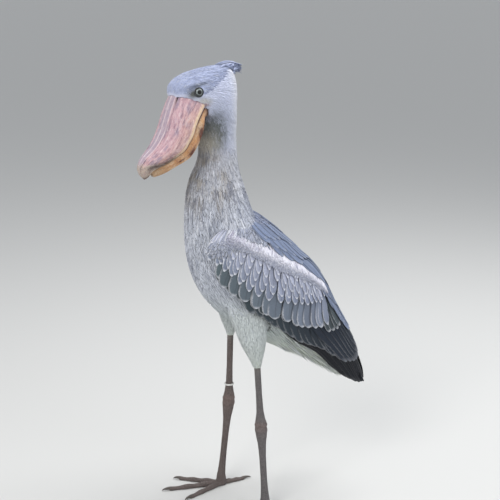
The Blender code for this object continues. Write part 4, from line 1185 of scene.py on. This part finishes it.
def tier_mesh(tiers, way, rng):
    """The feathers of several tiers of one wing as one mesh."""
    section = np.array(FULL)
    batches = []
    for tier in tiers:
        count = tier.count
        form = dense_form(tier.form, tier.steps)
        ks = form[:, 0]
        share = (np.arange(count) / (count - 1))[:, None]
        tips = along_line(tier.tips, (np.arange(count) + tier.stagger) / (count - 0.5))
        tips = tips + rng.uniform(-1, 1, tips.shape) * (1.0, 1.6) * tier.jitter
        roots = tips + mix(*np.array(tier.back), share) * rng.uniform(0.93, 1.07, (count, 1))
        roots[:, 0] = np.maximum(roots[:, 0], 0.004)
        s, t = run_between(roots, tips, ks)
        t = t + rng.normal(0.0, 0.006, count)[:, None] * np.sin(ks * math.pi)
        here, along, across, normal = wing_frame(s, t)
        run = (tips - roots)[:, None, :]
        side = unit(np.cross(normal, unit(along * run[..., :1] + across * run[..., 1:])))
        height = np.interp(ks, (0.0, 0.5, 1.0), tier.heights)[:, None]
        height = height + rng.normal(0, 0.00025, (count, 1, 1))
        wide = tier.half_width * rng.uniform(0.94, 1.06, (count, 1)) * form[:, 1]
        notch = rng.random(wide.shape) < 0.06
        wide = wide * np.where(notch, rng.uniform(0.93, 0.98, wide.shape), 1.0)
        reach = wide[:, :, None] * section[:, 0]
        # Steps across the vane are turned into steps of s and t, so the vane hugs the wing.
        aa, cc, ac, sa, sc = [(a * b).sum(-1)[..., None] for a, b in (
            (along, along), (across, across), (along, across), (side, along), (side, across))]
        det = aa * cc - ac * ac
        spots = wing_surface(s[..., None] + (sa * cc - sc * ac) / det * reach,
                             t[..., None] + (sc * aa - sa * ac) / det * reach)
        ends = here[:, -1] + (here[:, -1] - here[:, -2]) * 0.25
        ends = ends + normal[:, -1] * (tier.heights[2] + 0.0002)
        here, normal, side = (a[:, :, None] for a in (here, normal, side))
        shaped = here + mix(side * reach[..., None], spots - here, 0.85)
        lean = section[:, :1] * -tier.tilt * (wide / tier.half_width)[:, :, None, None]
        points = shaped + normal * (height[..., None] + section[:, 1:] * VANE_THICK + lean)
        colours = mix(tier.colour, tier.end_colour, share) * rng.uniform(0.93, 1.07, (count, 1))
        batches.append((on_side(points, way), on_side(ends, way), ks, section, wing_bake(roots),
                        colours, np.full(count, tier.fringe)))
    return feather_mesh([(*batch, rng.random(len(batch[1]))) for batch in batches])


def flight_tiers(way):
    """Primaries, secondaries and tertials; the far wing's tips lie higher than the near one's."""
    primary = Tier(PRIMARY_NEAR if way > 0 else PRIMARY_FAR, ((-0.42, -0.04), (-0.46, 0.00)),
                   0.0145, (-0.0085, -0.0078, -0.0066), 10, LONG_TIP, HUE.primary, HUE.primary,
                   0.05, 0.0014, 0.004, 26)
    secondary = Tier(SECONDARY_LINE, ((-0.20, -0.25), (-0.20, -0.25)), 0.0165,
                     (-0.0065, -0.0048, -0.0038), 13, BROAD_TIP, HUE.secondary, HUE.tertial,
                     0.28, 0.0018, 0.005, 24)
    tertial = Tier(TERTIAL_LINE, ((-0.34, -0.10), (-0.30, 0.00)), 0.0185,
                   (-0.0056, -0.0028, -0.0010), 8, BROAD_TIP, HUE.tertial, HUE.tertial, 0.18,
                   0.0016, 0.006, 26)
    return [primary, secondary, tertial]


def covert_tiers(rows=5):
    """Greater coverts, then rows of smaller ones up to the arm."""
    under = Tier(GREATER_LINE, ((-0.090, -0.21), (-0.15, -0.28)), 0.0190,
                 (-0.0058, -0.0042, -0.0030), 14, BROAD_TIP, HUE.secondary, HUE.secondary, 0.5,
                 0.0020, 0.006, 16, 0.5)
    greater = Tier(GREATER_LINE, ((-0.090, -0.21), (-0.17, -0.30)), 0.0215,
                   (-0.0048, -0.0020, -0.0004), 15, POINT_TIP, HUE.covert_low,
                   mix(HUE.covert_low, HUE.covert, 0.7), 0.65, 0.0028, 0.009, 20)
    dark = Tier(GREATER_REAR, ((-0.16, -0.20), (-0.16, -0.10)), 0.0150,
                (-0.0046, -0.0016, 0.0002), 4, BROAD_TIP, HUE.secondary, HUE.secondary, 0.5,
                0.0018, 0.004, 20)
    tiers = [under, greater, dark]
    low, high = (along_line(line, np.linspace(0, 1, 9)) for line in (MEDIAN_LINE, ARM_LINE))
    for n in range(rows):
        k = n / (rows - 1)
        shade = mix(HUE.covert, HUE.band, 0.25 * k)
        tiers.append(Tier(mix(low, high, 0.84 * k), ((-0.080, -0.185), (-0.095, -0.175)),
                          mix(0.0138, 0.0118, k), (-0.0048, -0.0014, 0.0008 + 0.0004 * k), 17,
                          POINT_TIP, mix(shade, HUE.covert_low, 0.45 * (1 - k)), shade,
                          mix(0.95, 0.85, k), 0.0027, 0.004, 16, 0.5 * (n % 2)))
    return tiers


def scapular_tiers():
    """Long slate feathers from the shoulder over the top of the wing and the back."""
    return [
        Tier(line, ((-0.22, -0.01), (-0.16, -0.06)), 0.0170,
             tuple(height + 0.0004 * n for height in (-0.0036, 0.0004, 0.0018)), 9, BROAD_TIP,
             HUE.scapular, HUE.scapular, 0.16, 0.0016, 0.010, 18)
        for n, line in enumerate(SCAPULAR_LINES)
    ]


def wing_plumes(name, roots, tips, widths, low, high, colours, fringes, way, material, rng):
    """Many small feathers laid on one wing between places given as s and t."""
    ks = np.array(BODY_FORM)[:, 0]
    here, along, across, normal = wing_frame(*run_between(roots, tips, ks))
    height = low + (high - low)[:, None] * ks
    centres = here + normal * height[..., None]
    sides = unit(np.cross(normal, np.gradient(centres, axis=1)))
    turned = np.array([way, 1.0, 1.0])
    mesh = vane_mesh(on_side(centres, way), sides * turned * way, normal * turned, widths, 0.0005,
                     BODY_FORM, THIN, colours, wing_bake(roots), fringes, rng)
    add_piece(name, mesh, material, "feathers_grey")


def make_band(side, way, material):
    """Small pale ragged plumes along the upper arm."""
    rng = np.random.default_rng(51 if way > 0 else 52)
    count = 5000
    share = 0.15 + 0.85 * rng.random(count)
    rise = rng.random(count) * np.interp(share, (0.13, 0.30), (0.70, 1.10)) - 0.10
    tips = mix(along_line(ARM_LINE, share), along_line(BAND_LINE, share), rise[:, None])
    tips = tips + rng.normal(0, 0.006, (count, 2))
    roots = tips - np.array([0.027, 0.064]) * rng.uniform(0.7, 1.2, (count, 1))
    roots[:, 0] = np.maximum(roots[:, 0], 0.003)
    tips[:, 0] = np.maximum(tips[:, 0], roots[:, 0] + 0.010)
    places = on_side(wing_surface(*roots.T), way)
    patch = smooth(-0.1, 0.5, wobble(places, 0.009, 7) + 0.25 * rng.normal(0, 1, count))
    patch = np.clip(0.6 * patch + smooth(0.50, 0.15, share) * 0.9, 0, 1)
    colours = layered(
        HUE.band,
        (HUE.band_dark, patch),
        (HUE.covert * 1.15, 0.8 * smooth(0.75, 0.15, rise + rng.normal(0, 0.12, count))),
        (HUE.fringe, rng.random(count) ** 4 * 0.7),
    )
    swell = np.sin(np.clip(rise, 0, 1) * math.pi) * 0.0015
    wing_plumes("wing_band_" + side, roots, tips, rng.uniform(0.0020, 0.0034, count), 0.0008,
                rng.uniform(0.0024, 0.0034, count) + swell, colours,
                rng.uniform(0.0, 0.4, count), way, material, rng)


def make_shoulder_plumes(side, way, material):
    """Plumes that hide where the neck's feathers meet the wing and the back."""
    rng = np.random.default_rng(61 if way > 0 else 62)
    count = 1100
    t = rng.uniform(-0.03, 0.86, count)
    reach = np.interp(t, (0.0, 0.20, 0.45, 0.65, 0.86), (0.060, 0.065, 0.110, 0.070, 0.040))
    roots = np.stack([0.003 + rng.random(count) * reach, t], axis=-1)
    down = np.interp(t, (0.0, 0.3, 0.86), (0.01, 0.06, 0.10))
    run = [rng.uniform(0.05, 0.085, count), down * rng.uniform(0.6, 1.3, count)]
    upper = smooth(0.50, 0.20, t)
    colours = layered(
        mix(HUE.covert, HUE.breast, 0.35),
        (HUE.back, 0.95 * upper),
        (HUE.breast_dark, 0.85 * rng.random(count) ** 1.2),
        (HUE.fringe, rng.random(count) ** 3 * 0.6 * (1 - 0.85 * upper)),
    )
    wing_plumes("shoulder_plumes_" + side, roots, roots + np.stack(run, axis=-1),
                rng.uniform(0.0030, 0.0046, count), -0.0004, rng.uniform(0.0020, 0.0036, count),
                colours, rng.uniform(0.1, 0.6, count) * (1 - 0.8 * upper), way, material, rng)


def make_wing_base(side, way, material):
    """The arm under the feathers."""
    s = np.linspace(0.012, 0.78, 40)
    t = np.linspace(0.0, 0.93, 36)
    ss, tt = np.meshgrid(s, t, indexing="ij")
    here, along, across, normal = wing_frame(ss, tt)
    fade = smooth(0.0, 0.10, ss) * smooth(0.78, 0.66, ss) * smooth(0.94, 0.84, tt)
    outer = here - normal * 0.0055
    inner = outer - normal * (0.006 + 0.010 * fade)[..., None]
    mesh = tube_mesh(on_side(np.concatenate([outer, inner[:, ::-1]], axis=1), way))
    share = np.append(np.repeat(s, 2 * len(t)), (s[0], s[-1]))
    set_colour(mesh, layered(HUE.breast * 0.75, (HUE.secondary * 0.6, smooth(0.20, 0.45, share))))
    add_piece("wing_base_" + side, mesh, material, "feathers_slate")


def make_wings(flight, soft, fine, down):
    for side, way in SIDES:
        rng = np.random.default_rng(21 if way > 0 else 22)
        make_wing_base(side, way, down)
        add_piece("wing_flight_" + side, tier_mesh(flight_tiers(way), way, rng), flight,
                  "feathers_slate", "wing_" + side)
        add_piece("wing_coverts_" + side, tier_mesh(covert_tiers(), way, rng), soft,
                  "feathers_slate")
        make_band(side, way, fine)
        make_shoulder_plumes(side, way, fine)
        add_piece("scapulars_" + side, tier_mesh(scapular_tiers(), way, rng), soft,
                  "feathers_slate")


# Tail and crest.

def make_tail_base(material):
    """The tail's flesh, drawn in and thinned towards its end."""
    mesh = merged(("tail",), TAIL_VOXEL, 4)
    points = read(mesh, "co") - read(mesh, "normal") * 0.0035
    end = np.maximum(points[:, 1] + CENTRE_Y - 0.320, 0.0)
    points[:, 2] += end + 0.012 * smooth(0.165, 0.125, points[:, 1])
    points[:, 1] -= 0.6 * end
    move(mesh, points)
    below = smooth(-0.285, -0.255, in_body(points)[0])
    set_colour(mesh, layered(HUE.primary, (HUE.vent * 0.8, below)))
    add_piece("tail_base", mesh, material, "feathers_slate", "tail")


def make_tail(flight, soft, hull):
    """Twelve tail feathers in a narrow fan, and pale coverts below them."""
    rng = np.random.default_rng(31)
    count = 12
    start = body_point(0.0, -0.322, 0.347)
    end = body_point(0.0, -0.354, 0.294)
    across = np.array([1.0, 0.0, 0.0])
    run = unit(end - start)
    normal = unit(np.cross(across, run))
    form = dense_form(LONG_TIP, 18)
    ks = form[:, 0]
    fan = (2 * np.arange(count) / (count - 1) - 1)[:, None]
    roots = start + across * 0.012 * fan
    tips = end + across * 0.019 * fan - run * 0.010 * fan * fan - normal * 0.003 * np.abs(fan)
    bow = normal * (0.0035 - 0.0032 * np.abs(fan))
    centres = roots[:, None] + (tips - roots + bow)[:, None] * ks[:, None]
    sides, normals = (np.tile(way, (count, len(ks), 1)) for way in (
        unit(across + normal * 0.12), normal))
    places = np.stack([np.linspace(0.2, 0.8, count), np.full(count, 0.5)], axis=-1)
    mesh = vane_mesh(centres, sides, normals, 0.0095, 0.0008, form, FULL,
                     mix(HUE.primary, HUE.secondary, 0.35), places, 0.08, rng)
    add_piece("tail_feathers", mesh, flight, "feathers_slate")

    roots, normal = outer_roots(hull, every(0.0050), rng, "tail")
    keep = (in_body(roots)[0] > -0.255) & (normal[:, 2] < -0.45)
    roots = roots[keep & (np.abs(roots[:, 0] + CENTRE_X) < 0.022)]
    count = len(roots)
    lengths = rng.uniform(0.030, 0.042, count)
    lay_coat("tail_coverts", hull, roots, lengths, lengths * 0.085, (-0.0004, 0.0015),
             HUE.vent * rng.uniform(0.9, 1.05, (count, 1)), 0.2, body_flow, soft, rng, sway=0.12,
             depth=-0.0040, thick=0.0010, vary=False)


def make_crest(material):
    """The short pointed tuft at the back of the crown."""
    rng = np.random.default_rng(41)
    count = 170
    form = dense_form(LANCE_FORM, 8)
    ks = form[:, 0]
    spread = rng.uniform(-1, 1, count)
    rank = rng.random(count)
    depth = rng.random(count)
    root_f = mix(0.012, -0.034, rank)
    root_z = 1.1850 - 0.014 * smooth(-0.010, -0.040, root_f) - 0.004 * spread**2 - 0.006 * depth
    reach = 1 - 0.45 * np.abs(spread) ** 1.5 - 0.30 * depth * rng.random(count)
    tip_f = root_f + (-0.074 - root_f) * reach
    tip_z = mix(1.184, 1.171, rank) - 0.012 * depth * rank - 0.004 * np.abs(spread)
    tip_z = tip_z + rng.normal(0, 0.0008, count)
    root_f, root_z, tip_f, tip_z, side, low = (
        a[:, None] for a in (root_f, root_z, tip_f, tip_z, spread, depth))
    arch = 0.007 * np.sin(ks * math.pi) * (1 - 0.4 * low)
    centres = head_point(mix(root_f, tip_f, ks), side * mix(0.016, 0.004, ks),
                         mix(root_z, tip_z, ks) + arch)
    course = unit(np.gradient(centres, axis=1))
    roll = (rng.normal(0, 0.3, count)[:, None] + side * 1.1)[..., None]
    flat = unit(np.cross(UP, course))
    sides = unit(flat * np.cos(roll) + np.cross(course, flat) * np.sin(roll))
    colours = layered(HUE.crown, (HUE.crown_dark, rng.uniform(-0.2, 0.3, count)))
    places = np.stack([0.5 + spread * 0.2, 0.3 + 0.4 * rank], axis=-1)
    mesh = vane_mesh(centres, sides, unit(np.cross(course, sides)),
                     rng.uniform(0.0034, 0.0056, count), 0.0005, form, THIN, colours, places,
                     0.05, rng)
    add_piece("crest_feathers", mesh, material, "feathers_slate", "crest")


# Bill.

def bill_grid(table, form, rows, around):
    """Points of a bill half as rings of places along and round it, with those places."""
    v = np.linspace(0, len(table) - 1, rows)
    w = np.linspace(0, len(form) - 1, around)
    row = rows_at(table, v)[:, None, :]
    across, drop = rows_at(form, w).T
    left = np.stack([mix(row[..., 0], row[..., 2], drop), row[..., 4] * np.maximum(across, 0.0),
                     mix(row[..., 1], row[..., 3], drop)], axis=-1)
    right = left[:, ::-1][:, 1:-1] * (1, -1, 1)
    vv, ww = np.meshgrid(v, np.concatenate([w, w[::-1][1:-1]]), indexing="ij")
    return np.concatenate([left, right], axis=1), vv, ww


def ring_normals(ring):
    """Outward normals of a grid of rings."""
    along = np.gradient(ring, axis=0)
    round_it = np.roll(ring, -1, axis=1) - np.roll(ring, 1, axis=1)
    normal = unit(np.cross(round_it, along))
    middle = ring.mean(axis=1, keepdims=True)
    flip = np.sign(((ring - middle) * normal).sum(axis=(1, 2), keepdims=True))
    return normal * np.where(flip == 0, 1, flip)


def nostril(v, w):
    return gauss(v, 1.55, 0.42) * gauss(w, 2.10, 0.14)


def bill_noise(v, w, side, long, wide, size, seed):
    """Noise that runs along the horn, different on its two sides."""
    return wobble(np.stack([v * long, w * wide, side * 3.0], axis=-1), size, seed)


def upper_colour(v, w, points, side):
    """Painted colours of the upper bill from its base (v 0) to its tip (v 12)."""
    broad = bill_noise(v, w, side, 0.45, 0.8, 0.60, 11)
    small = bill_noise(v, w, side, 0.42, 1.5, 0.45, 12)
    fine = bill_noise(v, w, side, 0.9, 2.2, 0.42, 13)
    tiny = wobble(points, 0.0018, 20)
    low = smooth(3.2, 5.4, w + 0.5 * broad) * smooth(0.3, 3.0, v)
    blotch = smooth(-0.10, 0.45, broad + 0.6 * small) * smooth(5.9, 4.2, w)
    specks = smooth(-0.05, 0.70, 0.9 * small + 0.4 * fine + 0.3 * tiny) * smooth(6.0, 4.6, w)
    ridge = gauss(w, 1.55, 0.20) * (0.5 + 0.5 * smooth(-0.3, 0.4, fine)) * smooth(10, 7, v)
    nail = smooth(8.6, 9.6, v + 0.3 * broad) * smooth(6.2, 5.6, w)
    tip = spot(v, w, (9.6, 4.9), (0.9, 0.8)) + spot(v, w, (8.3, 5.7), (1.4, 0.35))
    tip = tip + 0.8 * smooth(11.3, 12.0, v)
    return layered(
        HORN.pink,
        (HORN.orange, np.clip(0.40 * low + 0.25 * smooth(6, 11, v), 0, 1)),
        (HORN.violet, 0.80 * blotch),
        (HORN.dusk, 0.72 * specks),
        (HORN.pale, 0.55 * smooth(0.0, 0.7, 0.3 * tiny - 0.8 * small - 0.3 * fine)),
        (layered(HORN.violet, (HORN.pale, 0.15 + 0.25 * fine)), 0.85 * smooth(1.55, 1.25, w)),
        # Pale on the keel's two ridges and along its top: partly paler horn, partly a painted
        # highlight.
        (HORN.pale, np.clip(0.9 * ridge, 0, 1)),
        (HORN.pale, gauss(w, 0.0, 0.22) * 0.6),
        (HORN.dusk, 0.8 * gauss(w, 2.08, 0.16) * smooth(5.0, 1.0, v)),
        (HORN.cream, 0.75 * gauss(w, 5.80, 0.20)),
        (HORN.dusk, 0.35 * gauss(w, 5.35, 0.18) * smooth(-0.1, 0.4, fine + 0.3)),
        # Dark brown inside the cutting edge: painted shadow of the gap between the bill's halves.
        (HORN.brown, smooth(6.02, 6.25, w)),
        (layered(HORN.bone, (HORN.dusk, 0.6 * smooth(0.0, 0.6, fine))), 0.8 * nail),
        (HORN.brown, np.clip(0.9 * tip, 0, 0.92)),
        (HORN.rear, 0.75 * smooth(0.9, 0.15, v + 0.25 * fine) * smooth(3.0, 5.0, w)),
        (HORN.slit, np.clip(1.3 * nostril(v, w), 0, 1)),
    )


def lower_colour(v, w, points, side):
    """Painted colours of the lower bill from the gape (v 0) to its tip (v 10)."""
    broad = bill_noise(v, w, side, 0.5, 0.8, 0.6, 14)
    fine = wobble(points, 0.004, 15)
    tiny = wobble(points, 0.0018, 23)
    patches = [
        (HORN.blood, np.clip(1.4 * strength * spot(v, w, at, reach) * (1 + 0.6 * fine), 0, 0.95))
        for at, reach, strength in (
            ((3.0, 4.1), (0.55, 0.95), 1.1), ((4.8, 3.9), (0.45, 0.60), 1.0),
            ((2.1, 4.3), (0.45, 0.60), 0.7), ((6.4, 3.6), (0.60, 0.30), 0.6))
    ]
    return layered(
        HORN.ochre,
        (HORN.buff, smooth(-0.3, 0.5, broad + 0.4 * tiny)),
        (HORN.tan, 0.6 * smooth(0.0, 0.5, fine + 0.3 * tiny)),
        *patches,
        (HORN.gape, 0.8 * smooth(1.6, 0.3, v + 0.3 * fine)),
        # Dark along the top edge and inside of the lower bill: painted shadow of the gap under the
        # upper bill.
        (HORN.lip, 0.9 * gauss(w, 2.15, 0.22)),
        (HORN.lip, smooth(2.0, 1.7, w)),
        (HORN.tip, 0.6 * smooth(7.0, 9.5, v)),
        (HORN.pouch, 0.8 * smooth(5.2, 6.2, w)),
    )


def upper_relief(v, w):
    """Keel, grooves, nostrils, rolled cutting edge and the seam before the nail."""
    bulge = 0.0010 * gauss(w, 1.55, 0.22) - 0.0018 * gauss(w, 2.08, 0.22)
    bulge = bulge + 0.0008 * gauss(w, 5.85, 0.30) - 0.0005 * gauss(w, 5.25, 0.25)
    bulge = bulge + 0.0006 * gauss(w, 0.0, 0.5)
    body = smooth(0.3, 1.2, v) * smooth(12.0, 10.0, v)
    seam = smooth(9.3, 8.9, v) * smooth(8.5, 8.9, v)
    return body * bulge - 0.0030 * nostril(v, w) - 0.0006 * seam


def lower_relief(v, w):
    body = smooth(0.0, 1.0, v) * smooth(10.0, 8.5, v)
    return body * (gauss(w, 3.4, 0.35) * 0.0007 - gauss(w, 2.7, 0.2) * 0.0006)


def make_bill(material):
    """Both halves of the bill."""
    for node, table, form, rows, around, relief, paint, grain, wave, seed in (
        ("bill_upper", BILL_UPPER, UPPER_FORM, 190, 64, upper_relief, upper_colour, 0.35, 0.022,
         16),
        ("bill_lower", BILL_LOWER, LOWER_FORM, 150, 56, lower_relief, lower_colour, 0.4, 0.020,
         18),
    ):
        ring, v, w = bill_grid(table, form, rows, around)
        flat = ring.reshape(-1, 3)
        rough = wobble(flat * (grain, 1.0, grain), 0.006, seed).reshape(v.shape)
        swell = wobble(flat, wave, seed + 1).reshape(v.shape)
        depth = relief(v, w) + 0.00028 * rough + 0.0005 * swell
        shaped = ring + ring_normals(ring) * depth[..., None]
        points = head_point(*np.moveaxis(shaped, -1, 0))
        mesh = tube_mesh(points)
        side = np.sign(ring[..., 1]).ravel()
        v = v.ravel()
        w = w.ravel()
        set_colour(mesh, with_ends(paint(v, w, points.reshape(-1, 3), side)))
        place = np.stack([v / v.max(), w / w.max() * (1 + 0.3 * side)], axis=-1)
        set_uv(mesh, "Horn", with_ends(place))
        add_piece(node + "_horn", mesh, material, "bill", node)


# Eyes.

def make_eyes(eye, lid):
    """Eyeballs with a raised cornea, and lids that hold them."""
    for side, way in SIDES:
        centre = head_point(EYE_PLACE[0], EYE_PLACE[1] * way, EYE_PLACE[2])
        out = unit(HEAD_LEFT * way + HEAD_AHEAD * 0.25)
        ahead = unit(HEAD_AHEAD - out * (HEAD_AHEAD @ out))
        up = unit(np.cross(out, ahead)) * way

        lift = np.linspace(0.02, math.pi - 0.02, 40)[:, None]
        turn = turns(48)
        radius = EYE_RADIUS * (1.0 + 0.06 * np.exp(-((lift / 0.55) ** 2)))
        reach = radius * np.sin(lift)
        rings = (centre + out * (radius * np.cos(lift))[..., None]
                 + ahead * (reach * np.cos(turn))[..., None]
                 + up * (reach * np.sin(turn))[..., None])
        mesh = tube_mesh(rings)
        radial = np.where(lift < math.pi / 2, np.sin(lift) * EYE_RADIUS / IRIS_RADIUS, 1.2)
        place = np.stack(np.broadcast_arrays(np.cos(turn) * 0.5 + 0.5, radial), axis=-1)
        ends = [[0.5, 0.0], [0.5, 1.2]]
        set_uv(mesh, "Eye", np.concatenate([place.reshape(-1, 2), ends]))
        add_piece("eyeball_" + side, mesh, eye, "eyes", "eye_" + side)

        turn = turns(72)[:, None]
        brow = np.clip(np.sin(turn + 0.45), 0, 1) ** 1.5
        corner = np.exp(-(((turn - 0.15) % (2 * math.pi)) / 0.35) ** 2)
        reach, rise, outer = np.array(LID).T
        r = reach - 0.0040 * brow * (reach < 0.0112) + 0.0012 * corner * (reach < 0.0130)
        h = rise + 0.0024 * brow * (reach < 0.0135) - 0.0008 * corner
        mesh = hoop_mesh(centre + out * h[..., None] + up * (r * np.sin(turn))[..., None]
                         + ahead * (r * np.cos(turn))[..., None] * 1.05)
        # Darker above, painted shade under the brow; paler below, where the bare skin is whitish.
        shade = mix(HUE.lid_low, HUE.lid_high, smooth(0.2, -0.6, np.sin(turn)))
        shade = np.repeat(shade, len(LID), axis=0)
        set_colour(mesh, layered(HUE.lid_rim, (shade, np.tile(outer, len(turn)))))
        piece = add_piece("lid_" + side, mesh, lid, "feathers_grey")
        rounded = piece.modifiers.new("round", "SUBSURF")
        rounded.levels = 1
        rounded.render_levels = 1


# Legs and feet.

def leg_lines(side, rows):
    """The middle of a leg and its half sizes at places down it."""
    top, ankle, foot = np.array(LEGS[side])
    share = np.linspace(0, 1, rows)
    k = share[:, None]
    upper = mix(top, ankle, k / ANKLE_AT)
    lower = mix(ankle, foot, (k - ANKLE_AT) / (1 - ANKLE_AT))
    at, *sizes = np.array(LEG_FORM).T
    pad = [np.pad(np.interp(share, at, size), 4, mode="edge") for size in sizes]
    wide, deep = (np.convolve(line, np.ones(9) / 9, "valid") for line in pad)
    return share, np.where(k <= ANKLE_AT, upper, lower), wide, deep


def scales(points, size, seed=0.0):
    """Raised middle and sunk rim of small scales, 1 on a scale and 0 in the cracks."""
    found = np.empty(len(points))
    for i, p in enumerate(points / size + seed):
        apart = noise.voronoi(Vector(p))[0]
        found[i] = apart[1] - apart[0]
    return smooth(0.0, 0.35, found)


def leg_colour(points, side, share):
    colour = layered(
        HUE.leg_right if side == "right" else HUE.leg_left,
        (HUE.ankle, 0.55 * gauss(share, 0.60, 0.05)),
        (HUE.leg_top, 0.6 * smooth(0.10, 0.0, share)),
    )
    return colour * (1 + 0.12 * wobble(points, 0.02, 21))[:, None]


def make_legs(material, rows=300, around=48):
    for side, way in SIDES:
        share, middle, wide, deep = leg_lines(side, rows)
        turn = turns(around)
        out = body_point(np.cos(turn), np.sin(turn), 0.0) - body_point(0.0, 0.0, 0.0)
        points = body_point(middle[:, 2:] + wide[:, None] * np.cos(turn),
                            middle[:, :1] + deep[:, None] * np.sin(turn), middle[:, 1:2])
        flat = points.reshape(-1, 3)
        raised = scales(flat, 0.0036)
        knob = wobble(flat, 0.014, 22)
        down = np.repeat(share, around)
        joint = gauss(down, 0.61, 0.05)
        depth = 0.00035 * (raised - 0.6) + (0.0020 * knob + 0.0006 * np.sin(down * 150.0)) * joint
        points = points + out * depth.reshape(rows, around, 1)
        mesh = tube_mesh(points)
        colours = leg_colour(points.reshape(-1, 3), side, down)
        # Darker in the sunk cracks between the scales: painted shade.
        set_colour(mesh, with_ends(colours * mix(0.62, 1.0, raised)[:, None]))
        add_piece("shank_" + side, mesh, material, "leg_skin", "leg_" + side)


def toe_point(start, turn, ahead, side, up):
    """Points given along a toe turned outward by an angle, to its side, and up."""
    along = np.array([math.sin(turn), -math.cos(turn), 0.0])
    left = np.array([math.cos(turn), math.sin(turn), 0.0])
    return start + along * ahead[..., None] + left * side[..., None] + UP * up[..., None]


def toe_rings(start, turn, length, scale):
    """A toe with pads below, joints, and scutes across its top."""
    k = np.linspace(0, 1, 70)[:, None]
    joint = 1.0 + 0.10 * np.cos(6 * math.pi * k)
    high = TOE_HEIGHT * scale * (1 - 0.36 * k) * joint
    high = high + (0.019 - high) * np.clip(1 - k / 0.16, 0, 1) ** 2
    round_end = np.sqrt(np.clip(1 - ((k - 0.94) / 0.075).clip(0) ** 2, 0.04, 1))
    wide = TOE_WIDTH * scale * (1 - 0.30 * k) * joint * round_end
    high = high * (0.4 + 0.6 * round_end)
    angle = turns(20)
    up = np.sin(angle)
    body = (np.where(up < 0, 0.38 * up, up) + 0.38) / 1.38
    scute = np.abs(np.sin(k * length / 0.0052 * math.pi)) ** 0.5
    ridge = 0.0006 * (scute - 0.7) * smooth(0.25, 0.75, up)
    pads = 0.0006 * np.cos(k * length / 0.011 * 2 * math.pi) * smooth(0.2, -0.2, up)
    return toe_point(start, turn, k * length, np.cos(angle) * (wide + pads),
                     np.maximum(body * high + ridge, 0.0))


def claw_rings(start, turn, length, scale):
    """A blunt curved claw from inside the toe's end."""
    k = np.linspace(0, 1, 24)[:, None]
    size = scale * ((1 - k) ** 0.8 * 0.92 + 0.08)
    reach = length * 1.05 * np.sin(k * 1.35) / math.sin(1.35) - 0.004
    middle = 0.0062 * scale * (1 - 0.72 * k**1.4) + 0.0016 * np.sin(k * math.pi)
    angle = turns(14)
    return toe_point(start, turn, reach, np.cos(angle) * 0.0046 * size,
                     np.maximum(middle + np.sin(angle) * 0.0050 * size, 0.0003))


def make_feet(material, claw_look):
    """Hub, toes and claws of each foot."""
    for side, way in SIDES:
        u, z, x = LEGS[side][2]
        start = body_point(x, u, 0.0)
        height, wide, deep = np.array(HUB).T[:, :, None]
        angle = turns(28)
        hub = toe_point(start, 0.0, 0 * angle, 0 * angle, height + 0 * angle)
        hub = hub + np.stack([wide * np.cos(angle), deep * np.sin(angle), 0 * height * angle],
                             axis=-1)
        parts = [tube_mesh(hub)]
        claws = []
        for degrees, length, claw, scale in TOES:
            turn = math.radians(degrees) * way
            parts.append(tube_mesh(toe_rings(start, turn, length, scale)))
            end = toe_point(start, turn, np.array(length * 0.985), np.zeros(()), np.zeros(()))
            claws.append(claw_rings(end, turn, claw, scale))
        mesh = remeshed(joined(parts, True), FOOT_VOXEL, 0.5, 2)
        points = read(mesh, "co")
        normals = read(mesh, "normal")
        raised = scales(points, 0.0042, 3.0)
        top = smooth(0.3, 0.8, normals[:, 2])
        points = points + normals * (0.00035 * (raised - 0.6) * (1 - 0.7 * top))[:, None]
        points[:, 2] = np.maximum(points[:, 2], 0.0)
        move(mesh, points)
        colours = leg_colour(points, side, np.full(len(points), 0.9))
        # Darker in the sunk cracks between the scales: painted shade.
        set_colour(mesh, colours * mix(0.65, 1.0, raised)[:, None])
        add_piece("foot_skin_" + side, mesh, material, "leg_skin", "foot_" + side)
        for n, rings in enumerate(claws):
            add_piece(f"claw_{side}_{n + 1}", tube_mesh(rings), claw_look, "leg_skin")


def make_leg_ring(material):
    """The plain band above the right ankle, with rounded edges."""
    low, high = np.array(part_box("leg_ring"))
    middle = (low + high) / 2
    half = (high - low) / 2 * (0.86, 0.86, 0.62)
    wall = 0.0015
    c = np.cos(turns(20))
    s = np.sin(turns(20))
    inward = wall / 2 * (np.sign(c) * np.abs(c) ** 0.5 - 1)
    rise = np.sign(s) * np.abs(s) ** 0.4 * half[2]
    turn = turns(72)[:, None]
    rings = np.stack(np.broadcast_arrays((half[0] + inward) * np.cos(turn),
                                         (half[1] + inward) * np.sin(turn), rise), axis=-1)
    add_piece("ankle_band", hoop_mesh(middle + rings), material, "ring", "leg_ring")


def build():
    make_stage()
    fine = feather_material("body_plumage", 90.0, 0.10, 0.80, 0.10, 0.25, 0.20)
    soft = feather_material("covert_feathers", 260.0, 0.22, 0.70, 0.20, 0.12, 0.25)
    flight = feather_material("flight_feathers", 520.0, 0.35, 0.55, 0.24, 0.02, 0.20)
    down = skin_material()
    hull = Surface(sculpt(merged(FLESH + ("wing_left", "wing_right", "tail"), HULL_VOXEL, 8)))
    wings = node_tree("wing_left", "wing_right")
    make_skin(down)
    make_head_coat(hull, fine)
    make_body_coat(hull, wings, fine)
    make_hackles(hull, wings, fine)
    make_vent_plumes(hull, wings, fine)
    make_thigh_coats(hull, fine)
    make_wings(flight, soft, fine, down)
    make_tail_base(down)
    make_tail(flight, fine, hull)
    make_crest(fine)
    make_bill(horn_material())
    make_eyes(eye_material(), lid_material())
    legs = leg_material()
    make_legs(legs)
    make_feet(legs, claw_material())
    make_leg_ring(ring_material())


build()
